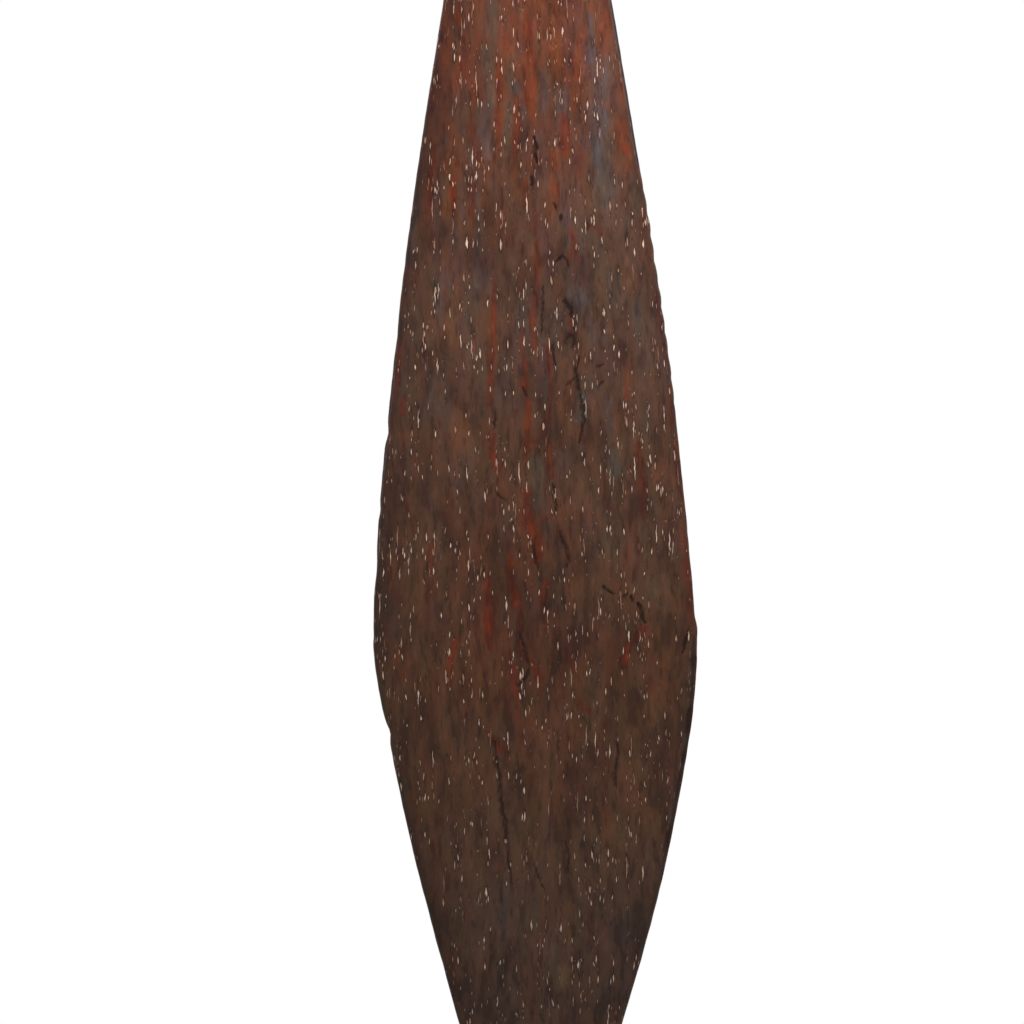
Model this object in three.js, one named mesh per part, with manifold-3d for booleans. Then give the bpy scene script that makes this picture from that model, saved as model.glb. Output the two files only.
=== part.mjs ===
// A canoe paddle carved from one billet of timber: a leaf blade, an oval shaft and a butt
// carved as a two-faced head, whose four eyes are rings of shell held by timber pegs.
//
// Millimetres. +Z runs up the shaft and the blade hangs below it, its front towards -Y.
// The origin is on the shaft's axis at the throat, where the shaft runs out into the blade.
import * as THREE from "three";
import { mergeVertices } from "three/addons/utils/BufferGeometryUtils.js";
import Module from "manifold-3d";

const wasm = await Module();
wasm.setup();

// Blade
const throatToWidest = 380;
const widestToTip = 243;
const bladeWidth = 126;
const bladeThickness = 12; // down the middle, at the widest place
const tipThickness = 8;
const tipRound = 9; // how far up from the tip its rounding reaches
const backLand = 5.4; // from the axis to the flat that the back is dressed to
const ribHeight = 5; // of the rib that dies away down the back from the throat
const ribHalfWidth = 12;

// Shaft
const shaftLength = 835;
const throatWidth = 35;
const throatDepth = 31;
const upperWidth = 31;
const upperDepth = 29;

// Carved butt
const headHeight = 92; // with its neck band
const headWidth = 43;
const headDepth = 39;
const fullestShare = 0.66; // of the way from the band to the crown, where the head is fullest
const bandHeight = 9;
const bandProud = 2.6;
const crownWidth = 17; // the flat at the top
const crownDepth = 16;

// Where the lines of its two faces lie, as shares of the butt's height
const faceShare = { tongue: 0.24, mouth: 0.315, noseFoot: 0.435, eyes: 0.614, noseTop: 0.674, brow: 0.696 };

// What the faces are carved with
const mouth = { halfWidth: 12, halfHeight: 8, cutDepth: 3.2, lipHeight: 1.7, lipHalfWidth: 2.4 };
const tongue = { halfWidth: 3.8, halfHeight: 8, proudHeight: 3.4 };
const nose = { footHalfWidth: 5.4, topHalfWidth: 2.6, proudHeight: 4.6, proudTop: 1.8 };
const brow = { halfThickness: 3.4, proudHeight: 2.6, halfWidth: 21, slant: 0.5 };

// Eyes
const eyeTurn = 31; // degrees round from the middle of each face
const eyeDepth = 2.4; // from the plain form of the head down to the socket's floor
const shellDiameter = 12.4;
const shellThickness = 1.2;
const shellRim = 0.3; // the worn round of the ring's edge
const pegShankDiameter = 3.4;
const pegShankLength = 8.4;
const pegHeadOverhang = 0.8; // over the ring, all round
const pegHeadHeight = 1.5;
const fitGap = 0.3; // between an inlaid piece and what it seats in
const ringPlay = 0.5; // between a peg's shank and its ring

// Fineness of the faceted solids
const pointsRound = 44;
const rings = { tip: 5, lowerBlade: 15, upperBlade: 20, shaft: 7, band: 6, head: 32 };
const eyeFacets = 24;
const domeSteps = 4;

// Exponents of the sections: 2 is an ellipse, and more is squarer.
const exponent = { shaft: 2, front: 3.1, back: 2.6, head: 2.3 };

const timberColour = 0x5f4436;
const shellColour = 0x4f8f8c;
const pegColour = 0x2a1a14;

const mix = (from, to, share) => from + (to - from) * share;
const clamp = (value) => Math.min(1, Math.max(0, value));

// A smooth curve through [place, value] stations that never overshoots between them. Its
// slope at either end is that of the chord there, unless it is said to be level.
function smoothThrough(stations, { levelStart = false, levelEnd = false } = {}) {
  const last = stations.length - 1;
  const chords = stations
    .slice(1)
    .map(([place, value], i) => (value - stations[i][1]) / (place - stations[i][0]));
  const slopes = stations.map((_, i) => {
    if (i === 0) return levelStart ? 0 : chords[0];
    if (i === last) return levelEnd ? 0 : chords[last - 1];
    const [before, after] = [chords[i - 1], chords[i]];
    return before * after > 0 ? (2 * before * after) / (before + after) : 0;
  });
  return (at) => {
    if (at <= stations[0][0]) return stations[0][1];
    if (at >= stations[last][0]) return stations[last][1];
    const i = stations.findIndex((_, k) => at < stations[k + 1][0]);
    const span = stations[i + 1][0] - stations[i][0];
    const t = (at - stations[i][0]) / span;
    const bend = t * (1 - t) * span * ((1 - t) * slopes[i] - t * slopes[i + 1]);
    return mix(stations[i][1], stations[i + 1][1], t * t * (3 - 2 * t)) + bend;
  };
}

// The outline of each side, which were never quite alike. From the throat to the widest
// place it is how far the side has spread from the shaft to the blade, and from there to
// the tip it is the share left of the blade's half width.
const outline = {
  left: {
    spread: [[0, 0], [0.105, 0.06], [0.263, 0.233], [0.474, 0.521], [0.737, 0.826], [1, 1.01]],
    taper: [[0, 1.01], [0.103, 0.962], [0.205, 0.886], [0.411, 0.713], [0.61, 0.514], [1, 0.075]],
  },
  right: {
    spread: [[0, 0], [0.105, 0.06], [0.263, 0.233], [0.474, 0.503], [0.737, 0.804], [1, 0.99]],
    taper: [[0, 0.99], [0.103, 0.97], [0.205, 0.91], [0.411, 0.737], [0.61, 0.51], [1, 0.075]],
  },
};

function sideOf({ spread, taper }) {
  const spreading = smoothThrough(spread, { levelStart: true, levelEnd: true });
  const tapering = smoothThrough(taper, { levelStart: true });
  return (above, below) =>
    below > 0
      ? (bladeWidth / 2) * tapering(below)
      : mix(throatWidth / 2, bladeWidth / 2, spreading(above));
}
const leftSide = sideOf(outline.left);
const rightSide = sideOf(outline.right);

// What is left of the throat's depth on the way to the widest place, how the blade thins
// from there to the tip, and how the rib on the back swells and dies away.
const throatLeft = smoothThrough([[0, 1], [0.105, 0.86], [0.24, 0.48], [0.39, 0.22], [0.6, 0.07], [1, 0]]);
const thinned = smoothThrough([[0, 0], [0.5, 0.45], [1, 1]]);
const ribLeft = smoothThrough([[0, 0], [0.105, 0.24], [0.24, 0.8], [0.38, 1], [0.6, 0.7], [1, 0]]);
const squaredBy = 0.4; // the share of the way to the widest place where the faces are flat

// One point of a section, with its own reach to each side and its own front and back.
function sectionPoint(angle, { left, right, front, back, frontExponent, backExponent }) {
  const across = Math.cos(angle);
  const through = Math.sin(angle);
  const power = 2 / (through < 0 ? frontExponent : backExponent);
  return [
    (across < 0 ? left : right) * Math.sign(across) * Math.abs(across) ** power,
    (through < 0 ? front : back) * Math.sign(through) * Math.abs(through) ** power,
  ];
}

const evenSection = (angle, width, depth, bothExponents) =>
  sectionPoint(angle, {
    left: width / 2,
    right: width / 2,
    front: depth / 2,
    back: depth / 2,
    frontExponent: bothExponents,
    backExponent: bothExponents,
  });

function bladeSection(down, rounding) {
  const above = clamp(down / throatToWidest);
  const below = (down - throatToWidest) / widestToTip;
  const squared = clamp(above / squaredBy);
  const depth = mix(bladeThickness / 2, tipThickness / 2, thinned(below));
  const halfDepth = rounding * mix(depth, throatDepth / 2, throatLeft(above));
  const land = mix(backLand, throatDepth / 2, throatLeft(above));
  const form = {
    left: rounding * leftSide(above, below),
    right: rounding * rightSide(above, below),
    front: halfDepth,
    back: halfDepth,
    frontExponent: mix(exponent.shaft, exponent.front, squared),
    backExponent: mix(exponent.shaft, exponent.back, squared),
  };
  return (angle) => {
    const [x, y] = sectionPoint(angle, form);
    const rib = ribHeight * ribLeft(above) * Math.exp(-((x / ribHalfWidth) ** 2));
    return [x, Math.min(y, land) + rib * clamp(y / land)];
  };
}

const shaftSection = (up) => (angle) => {
  const share = up / shaftLength;
  const width = mix(throatWidth, upperWidth, share);
  return evenSection(angle, width, mix(throatDepth, upperDepth, share), exponent.shaft);
};

const bandSection = (up) => (angle) => {
  const proud = bandProud * Math.sqrt(1 - (2 * (up / bandHeight) - 1) ** 2);
  return evenSection(angle, upperWidth + 2 * proud, upperDepth + 2 * proud, exponent.shaft);
};

// The head's plain form swells from the neck to its fullest, and is a dome from there to
// the crown.
const headSwell = smoothThrough([[0, 0], [0.12, 0.05], [0.38, 0.7], [0.7, 0.86], [1, 1]], { levelEnd: true });

function plainHead(up) {
  const share = (up - bandHeight) / (headHeight - bandHeight);
  const swelling = headSwell(share / fullestShare);
  const upDome = clamp((share - fullestShare) / (1 - fullestShare));
  const falling = 1 - Math.sqrt(1 - upDome ** 2);
  return {
    width: mix(mix(upperWidth, headWidth, swelling), crownWidth, falling),
    depth: mix(mix(upperDepth, headDepth, swelling), crownDepth, falling),
  };
}

const wallShare = 0.33; // of the mouth's half height, taken up by the slope down to its floor
const noseEndShare = 0.2; // of the nose's height, over which it comes out of the face

// What stands out of the plain form or is cut into it, at a point that lies round from the
// middle of its face and above the foot of the neck band.
function carving(round, height) {
  const side = Math.abs(round);
  const line = (share) => height - share * headHeight;
  const mound = (across, along = 0) => Math.exp(-(across ** 2) - along ** 2);

  const fromLip = Math.hypot(round / mouth.halfWidth, line(faceShare.mouth) / mouth.halfHeight) - 1;
  const lip = mouth.lipHeight * mound((fromLip * mouth.halfHeight) / mouth.lipHalfWidth);
  const hollow = mouth.cutDepth * clamp(-fromLip / wallShare);
  const upTongue = line(faceShare.tongue) / tongue.halfHeight;
  const stuckOut = tongue.proudHeight * mound(round / tongue.halfWidth, upTongue);

  const upNose = line(faceShare.noseFoot) / ((faceShare.noseTop - faceShare.noseFoot) * headHeight);
  const halfNose = mix(nose.footHalfWidth, nose.topHalfWidth, clamp(upNose));
  const noseEnds = clamp(1 + upNose / noseEndShare) * clamp(1 + (1 - upNose) / (2 * noseEndShare));
  const bridge = mix(nose.proudHeight, nose.proudTop, clamp(upNose)) * noseEnds;

  const overBrow = (line(faceShare.brow) - brow.slant * side) / brow.halfThickness;
  const browEnd = clamp((brow.halfWidth - side) / brow.halfThickness);

  return (
    lip - hollow + stuckOut
    + bridge * mound(round / halfNose)
    + brow.proudHeight * browEnd * mound(overBrow)
  );
}

// The corners crowd towards the middle of the two faces, where the carving is.
const crowding = 0.2;
const fadeHeight = 6; // over which the carving dies away towards the band and the crown

function headSection(up) {
  const { width, depth } = plainHead(up);
  const fade = clamp((up - bandHeight) / fadeHeight) * clamp((headHeight - up) / fadeHeight);
  return (angle) => {
    const crowded = angle + crowding * fade * Math.sin(2 * angle);
    const [x, y] = evenSection(crowded, width, depth, exponent.head);
    const reach = Math.hypot(x, y);
    const grown = 1 + (fade * carving(Math.atan2(x, Math.abs(y)) * reach, up)) / reach;
    return [x * grown, y * grown];
  };
}

// Even steps between two places, with the first left out.
const steps = (from, to, count) =>
  Array.from({ length: count }, (_, i) => mix(from, to, (i + 1) / count));

function paddleRings() {
  const tip = throatToWidest + widestToTip;
  const leaf = [
    ...steps(tip - tipRound, throatToWidest, rings.lowerBlade),
    ...steps(throatToWidest, 0, rings.upperBlade),
  ];
  return [
    ...steps(0, Math.PI / 2, rings.tip).map((lift) => {
      const down = tip - tipRound * (1 - Math.cos(lift));
      return { height: -down, section: bladeSection(down, Math.sin(lift)) };
    }),
    ...leaf.map((down) => ({ height: -down, section: bladeSection(down, 1) })),
    ...steps(0, shaftLength, rings.shaft).map((up) => ({ height: up, section: shaftSection(up) })),
    ...steps(0, bandHeight, rings.band).map((up) => ({
      height: shaftLength + up,
      section: bandSection(up),
    })),
    ...steps(bandHeight, headHeight, rings.head).map((up) => ({
      height: shaftLength + up,
      section: headSection(up),
    })),
  ];
}

// Skins a stack of sections, and closes both ends with a fan to a point on the axis. Each
// four-sided patch is split along its shorter diagonal.
function skin(stack, footHeight) {
  const corners = stack.map(({ height, section }) =>
    Array.from({ length: pointsRound }, (_, k) => {
      return new THREE.Vector3(...section((2 * Math.PI * (k + 0.5)) / pointsRound), height);
    }),
  );
  const faces = [];
  for (let ring = 0; ring + 1 < stack.length; ring++) {
    for (let k = 0; k < pointsRound; k++) {
      const next = (k + 1) % pointsRound;
      const [a, b] = [corners[ring][k], corners[ring][next]];
      const [c, d] = [corners[ring + 1][next], corners[ring + 1][k]];
      if (a.distanceTo(c) < b.distanceTo(d)) faces.push(a, b, c, a, c, d);
      else faces.push(a, b, d, b, c, d);
    }
  }
  const last = stack.length - 1;
  const foot = new THREE.Vector3(0, 0, footHeight);
  const top = new THREE.Vector3(0, 0, stack[last].height);
  for (let k = 0; k < pointsRound; k++) {
    const next = (k + 1) % pointsRound;
    faces.push(foot, corners[0][next], corners[0][k]);
    faces.push(top, corners[last][k], corners[last][next]);
  }
  return new THREE.BufferGeometry().setFromPoints(faces);
}

// A solid for cutting, from a closed geometry placed by a matrix.
function solidOf(geometry, matrix = new THREE.Matrix4()) {
  const bare = geometry.clone().applyMatrix4(matrix);
  bare.deleteAttribute("normal");
  bare.deleteAttribute("uv");
  const merged = mergeVertices(bare, 1e-3);
  return new wasm.Manifold(
    new wasm.Mesh({
      numProp: 3,
      vertProperties: merged.attributes.position.array,
      triVerts: new Uint32Array(merged.index.array),
    }),
  );
}

function geometryOf(solid) {
  const mesh = solid.getMesh();
  const geometry = new THREE.BufferGeometry();
  geometry.setAttribute("position", new THREE.BufferAttribute(mesh.vertProperties, 3));
  geometry.setIndex(new THREE.BufferAttribute(mesh.triVerts, 1));
  geometry.computeVertexNormals();
  return geometry;
}

// A turned solid that stands on +Y, from [radius, height] corners.
const turned = (profile) =>
  new THREE.LatheGeometry(
    profile.map(([radius, height]) => new THREE.Vector2(radius, height)),
    eyeFacets,
  );

// In a socket's own frame +Y points out of its floor. The ring lies a gap above the floor,
// and the peg's head a gap above the ring.
const ringSeat = fitGap;
const pegSeat = ringSeat + shellThickness + fitGap;
const ringHole = pegShankDiameter / 2 + ringPlay;
const pegHead = ringHole + pegHeadOverhang;

function socketShape() {
  const hole = pegShankDiameter / 2 + fitGap;
  const foot = pegSeat - pegShankLength - fitGap;
  const well = shellDiameter / 2 + fitGap;
  const wellTop = eyeDepth + 2 * brow.proudHeight;
  return turned([[0, foot], [hole, foot], [hole, 0], [well, 0], [well, wellTop], [0, wellTop]]);
}

function shellRing() {
  const outer = shellDiameter / 2;
  return turned([
    [ringHole, 0], [outer, 0], [outer, shellThickness - shellRim],
    [outer - shellRim, shellThickness], [ringHole, shellThickness], [ringHole, 0],
  ]);
}

function eyePeg() {
  const shank = pegShankDiameter / 2;
  const dome = steps(0, Math.PI / 2, domeSteps).map((lift) => [
    pegHead * Math.cos(lift),
    pegHeadHeight * Math.sin(lift),
  ]);
  dome[dome.length - 1][0] = 0;
  return turned([[0, -pegShankLength], [shank, -pegShankLength], [shank, 0], [pegHead, 0], ...dome]);
}

// Where each eye looks, and the place and turn of its socket's floor.
const eyes = [
  { name: "front_left", side: -1, facing: -1 },
  { name: "front_right", side: 1, facing: -1 },
  { name: "back_left", side: -1, facing: 1 },
  { name: "back_right", side: 1, facing: 1 },
].map(({ name, side, facing }) => {
  const turn = THREE.MathUtils.degToRad(eyeTurn);
  const outward = new THREE.Vector3(side * Math.sin(turn), facing * Math.cos(turn), 0);
  const up = faceShare.eyes * headHeight;
  const { width, depth } = plainHead(up);
  const reach = 0.5 / Math.hypot(outward.x / width, outward.y / depth);
  const floor = outward.clone().multiplyScalar(reach - eyeDepth);
  floor.z = shaftLength + up;
  const turnedOut = new THREE.Quaternion().setFromUnitVectors(new THREE.Vector3(0, 1, 0), outward);
  return { name, floor, turnedOut };
});

function addPiece(group, name, geometry, material) {
  const piece = new THREE.Mesh(geometry, material);
  piece.name = name;
  group.add(piece);
  return piece;
}

const timber = new THREE.MeshStandardMaterial({ color: timberColour, roughness: 0.55, metalness: 0 });
const shell = new THREE.MeshStandardMaterial({ color: shellColour, roughness: 0.2, metalness: 0.3 });
const pegTimber = new THREE.MeshStandardMaterial({ color: pegColour, roughness: 0.5, metalness: 0 });

const paddle = new THREE.Group();
const wholeScale = new THREE.Vector3(1, 1, 1);
const carved = eyes.reduce(
  (body, { floor, turnedOut }) =>
    body.subtract(solidOf(socketShape(), new THREE.Matrix4().compose(floor, turnedOut, wholeScale))),
  solidOf(skin(paddleRings(), -throatToWidest - widestToTip)),
);
addPiece(paddle, "paddle", geometryOf(carved), timber);

for (const { name, floor, turnedOut } of eyes) {
  const eye = new THREE.Group();
  eye.position.copy(floor);
  eye.quaternion.copy(turnedOut);
  addPiece(eye, `${name}_eye_shell`, shellRing(), shell).position.y = ringSeat;
  addPiece(eye, `${name}_eye_peg`, eyePeg(), pegTimber).position.y = pegSeat;
  paddle.add(eye);
}

export default paddle;
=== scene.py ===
import math

import bpy
import numpy as np
from mathutils import Matrix, Vector, noise


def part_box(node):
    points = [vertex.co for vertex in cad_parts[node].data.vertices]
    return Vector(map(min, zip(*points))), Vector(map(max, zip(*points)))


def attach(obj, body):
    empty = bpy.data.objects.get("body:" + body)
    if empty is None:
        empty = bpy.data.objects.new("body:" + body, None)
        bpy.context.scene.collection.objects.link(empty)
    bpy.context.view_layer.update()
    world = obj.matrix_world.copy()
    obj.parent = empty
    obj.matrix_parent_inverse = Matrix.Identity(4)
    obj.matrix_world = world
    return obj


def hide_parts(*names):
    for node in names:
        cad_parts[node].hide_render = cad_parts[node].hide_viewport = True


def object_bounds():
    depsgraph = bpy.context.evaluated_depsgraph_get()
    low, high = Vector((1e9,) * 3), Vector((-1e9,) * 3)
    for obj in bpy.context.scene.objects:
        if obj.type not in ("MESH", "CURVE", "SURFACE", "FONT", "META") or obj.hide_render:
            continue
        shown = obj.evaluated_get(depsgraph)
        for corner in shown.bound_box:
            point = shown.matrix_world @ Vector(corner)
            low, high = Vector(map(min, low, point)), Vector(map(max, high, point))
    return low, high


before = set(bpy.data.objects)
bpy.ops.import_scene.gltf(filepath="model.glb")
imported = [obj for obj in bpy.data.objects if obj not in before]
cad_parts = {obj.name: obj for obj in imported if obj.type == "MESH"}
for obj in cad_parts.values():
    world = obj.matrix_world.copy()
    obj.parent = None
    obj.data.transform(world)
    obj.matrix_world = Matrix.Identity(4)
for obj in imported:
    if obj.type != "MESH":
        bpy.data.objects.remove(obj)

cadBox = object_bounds()
mm = 0.001
tiny = 1e-6  # keeps a division from 0
level = 0.9  # how far up a face's normal points, from which the face counts as level


# Small helpers

def deselectAll():
    if bpy.context.object and bpy.context.object.mode != "OBJECT":
        bpy.ops.object.mode_set(mode="OBJECT")
    bpy.ops.object.select_all(action="DESELECT")


def pick(piece):
    deselectAll()
    piece.select_set(True)
    bpy.context.view_layer.objects.active = piece


def extrudeTo(height, rise, wider, deeper):
    # in edit mode: raises a copy of the chosen faces to a height and makes them wider and deeper there
    bpy.ops.mesh.extrude_region_move(TRANSFORM_OT_translate={"value": (0, 0, rise)})
    bpy.ops.transform.resize(value=(wider, deeper, 1), center_override=(0, 0, height))


def faceOutwards():
    # in edit mode: turns every face outwards, then goes back to object mode
    bpy.ops.mesh.select_all(action="SELECT")
    bpy.ops.mesh.normals_make_consistent(inside=False)
    bpy.ops.object.mode_set(mode="OBJECT")


def triples(items, name):
    # one row of three numbers for each vertex or face
    values = np.empty(len(items) * 3)
    items.foreach_get(name, values)
    return values.reshape(-1, 3)


def selectFaces(piece, chosen):
    # selects the chosen faces of a piece and goes into edit mode
    pick(piece)
    bpy.ops.object.mode_set(mode="EDIT")
    bpy.ops.mesh.select_mode(type="FACE")
    bpy.ops.mesh.select_all(action="DESELECT")
    bpy.ops.object.mode_set(mode="OBJECT")
    piece.data.polygons.foreach_set("select", chosen)
    bpy.ops.object.mode_set(mode="EDIT")


def mix(low, high, share):
    return low + (high - low) * share


def smoothStep(value, low, high):
    t = np.clip((value - low) / (high - low), 0, 1)
    return t * t * (3 - 2 * t)


def within(value, setIn, runOut):
    # 1 on a stretch, which sets in between two values and runs out between two more
    return smoothStep(value, *setIn) * smoothStep(value, *runOut)


def bump(value, place, halfWidth):
    return np.exp(-((value - place) / halfWidth) ** 2)


def curveThrough(stations, levelStart=False, levelEnd=False):
    # a smooth curve through (place, value) stations that never overshoots between them
    places, values = np.array(stations, float).T
    spans = np.diff(places)
    chords = np.diff(values) / spans
    slopes = np.concatenate(([0 if levelStart else chords[0]], chords[1:], [0 if levelEnd else chords[-1]]))
    for i in range(1, len(chords)):
        before = chords[i - 1]
        after = chords[i]
        slopes[i] = 2 * before * after / (before + after) if before * after > 0 else 0

    def at(place):
        inside = np.clip(place, places[0], places[-1])
        i = np.clip(np.searchsorted(places, inside, side="right") - 1, 0, len(spans) - 1)
        t = (inside - places[i]) / spans[i]
        bend = t * (1 - t) * spans[i] * ((1 - t) * slopes[i] - t * slopes[i + 1])
        return mix(values[i], values[i + 1], t * t * (3 - 2 * t)) + bend

    return at


def roughness3d(points, stretch, seed):
    # smooth noise of about -1 to 1 at each point, on coordinates divided by stretch
    offset = Vector((seed, 2 * seed, 3 * seed))
    return np.array([noise.noise(Vector(p) + offset) for p in points / np.array(stretch)])


# Shader maths: a wire is one node output, and sums on wires add their nodes

class Wire:
    def __init__(self, tree, socket):
        self.tree = tree
        self.socket = socket

    def node(self, kind, settings=None, values=None, out=0):
        made = self.tree.nodes.new(kind)
        for name, setting in (settings or {}).items():
            if name == "stops":
                ramp = made.color_ramp
                while len(ramp.elements) < len(setting):
                    ramp.elements.new(1)
                for element, (place, colour) in zip(ramp.elements, setting):
                    element.position = place
                    element.color = colour
            else:
                setattr(made, name, setting)
        for name, value in (values or {}).items():
            if isinstance(value, Wire):
                self.tree.links.new(value.socket, made.inputs[name])
            else:
                made.inputs[name].default_value = value
        return Wire(self.tree, made.outputs[out])

    def maths(self, operation, first, second=0.0):
        return self.node("ShaderNodeMath", {"operation": operation}, {0: first, 1: second})

    def __add__(self, other):
        return self.maths("ADD", self, other)

    def __radd__(self, other):
        return self.maths("ADD", other, self)

    def __sub__(self, other):
        return self.maths("SUBTRACT", self, other)

    def __rsub__(self, other):
        return self.maths("SUBTRACT", other, self)

    def __mul__(self, other):
        return self.maths("MULTIPLY", self, other)

    def __rmul__(self, other):
        return self.maths("MULTIPLY", other, self)

    def __truediv__(self, other):
        return self.maths("DIVIDE", self, other)

    def __rtruediv__(self, other):
        return self.maths("DIVIDE", other, self)

    def step(self, low, high):
        # rises smoothly from 0 at low to 1 at high, or falls where low is over high
        values = {
            "Value": self,
            "From Min": min(low, high),
            "From Max": max(low, high),
            "To Min": float(low > high),
            "To Max": float(low < high),
        }
        return self.node("ShaderNodeMapRange", {"interpolation_type": "SMOOTHSTEP"}, values)

    def times(self, scale):
        # a vector scaled along each axis
        return self.node("ShaderNodeVectorMath", {"operation": "MULTIPLY"}, {0: self, 1: scale})

    def plus(self, other):
        return self.node("ShaderNodeVectorMath", {"operation": "ADD"}, {0: self, 1: other})

    def part(self, axis):
        return self.node("ShaderNodeSeparateXYZ", None, {0: self}, "XYZ".index(axis))

    def cloud(self, detail=2.0, rough=0.5, out="Fac"):
        # noise with features about 1 across
        values = {"Vector": self, "Scale": 1.0, "Detail": detail, "Roughness": rough}
        return self.node("ShaderNodeTexNoise", None, values, out)

    def clamp(self):
        return self.node("ShaderNodeClamp", None, {"Value": self})

    def other(self, out):
        # another output of the same node
        return Wire(self.tree, self.socket.node.outputs[out])

    def towards(self, colour, share, way="MIX"):
        # a colour mixed with another by a share
        settings = {"data_type": "RGBA", "blend_type": way}
        return self.node("ShaderNodeMix", settings, {0: share, 6: self, 7: colour}, 2)

    def tinted(self, colour, share):
        return self.towards(colour, share, "MULTIPLY")

    def asNormal(self, strength, distance):
        # the tilt that this height gives the surface
        values = {"Strength": strength, "Distance": distance, "Height": self}
        return self.node("ShaderNodeBump", None, values, "Normal")

    def blend(self, first, second):
        # two colours mixed with this as the share
        return self.node("ShaderNodeMix", {"data_type": "RGBA"}, {0: self, 6: first, 7: second}, 2)


def tone(red, green, blue):
    # a colour as it is seen on a screen, 0 to 255
    def linear(value):
        share = value / 255
        return share / 12.92 if share <= 0.04045 else ((share + 0.055) / 1.055) ** 2.4

    return (linear(red), linear(green), linear(blue), 1.0)


def newMaterial(name):
    material = bpy.data.materials.new(name)
    material.use_nodes = True
    tree = material.node_tree
    shader = tree.nodes["Principled BSDF"]
    places = tree.nodes.new("ShaderNodeTexCoord")
    return material, tree, shader, Wire(tree, places.outputs["Object"])


def plug(tree, shader, links):
    for name, value in links.items():
        if isinstance(value, Wire):
            tree.links.new(value.socket, shader.inputs[name])
        else:
            shader.inputs[name].default_value = value


# The photograph's frame, which the camera repeats and in which marks on the blade are placed

photo = {
    "pixels": 1024,
    "scale": 0.39 * mm,  # metres to a pixel on the blade's face
    "axisAtTop": 527.0,  # where the paddle's axis meets the top edge
    "axisDrift": 14 / 1020,  # how far it moves right for each pixel down
    "widestRow": 640,
}

blade = {
    "tip": cadBox[0][2],
    "throatToWidest": 0.380,
    "width": 0.126,
    "thickness": 0.012,
    "tipThickness": 0.008,
    "tipRound": 0.009,
    "backLand": 0.0054,
    "ribHeight": 0.005,
    "ribHalfWidth": 0.012,
    "left": {
        "spread": [(0, 0), (0.105, 0.06), (0.263, 0.233), (0.343, 0.336), (0.474, 0.521),
                   (0.606, 0.69), (0.737, 0.826), (0.869, 0.947), (1, 1.01)],
        "taper": [(0, 1.01), (0.051, 0.994), (0.103, 0.962), (0.154, 0.92), (0.205, 0.886),
                  (0.308, 0.805), (0.411, 0.713), (0.514, 0.611), (0.61, 0.514), (1, 0.075)],
    },
    "right": {
        "spread": [(0, 0), (0.105, 0.06), (0.263, 0.233), (0.343, 0.334), (0.474, 0.503),
                   (0.606, 0.664), (0.737, 0.804), (0.869, 0.91), (1, 0.99)],
        "taper": [(0, 0.99), (0.051, 0.986), (0.103, 0.97), (0.154, 0.943), (0.205, 0.91),
                  (0.308, 0.83), (0.411, 0.737), (0.514, 0.625), (0.61, 0.51), (1, 0.075)],
    },
    "throatLeft": [(0, 1), (0.105, 0.86), (0.24, 0.48), (0.39, 0.22), (0.6, 0.07), (1, 0)],
    "thinned": [(0, 0), (0.5, 0.45), (1, 1)],
    "ribLeft": [(0, 0), (0.105, 0.24), (0.24, 0.8), (0.38, 1), (0.6, 0.7), (1, 0)],
    "squaredBy": 0.4,
    "frontExponent": 3.1,
    "backExponent": 2.6,
}
blade["widestToTip"] = -blade["tip"] - blade["throatToWidest"]

shaft = {
    "length": 0.835,
    "throatWidth": 0.035,
    "throatDepth": 0.031,
    "upperWidth": 0.031,
    "upperDepth": 0.029,
}

butt = {
    "height": cadBox[1][2] - shaft["length"],
    "width": 0.043,
    "depth": 0.039,
    "fullestShare": 0.66,
    "bandHeight": 0.009,
    "bandProud": 0.0026,
    "crownWidth": 0.017,
    "crownDepth": 0.016,
    "exponent": 2.3,
    "squaredBy": 0.125,  # share of the head above the band over which it leaves the oval
    "swell": [(0, 0), (0.12, 0.05), (0.38, 0.7), (0.7, 0.86), (1, 1)],
}

sideCurves = {
    name: (
        curveThrough(blade[name]["spread"], levelStart=True, levelEnd=True),
        curveThrough(blade[name]["taper"], levelStart=True),
    )
    for name in ("left", "right")
}
throatLeft = curveThrough(blade["throatLeft"])
thinned = curveThrough(blade["thinned"])
ribLeft = curveThrough(blade["ribLeft"])
headSwell = curveThrough(butt["swell"], levelEnd=True)


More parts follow.
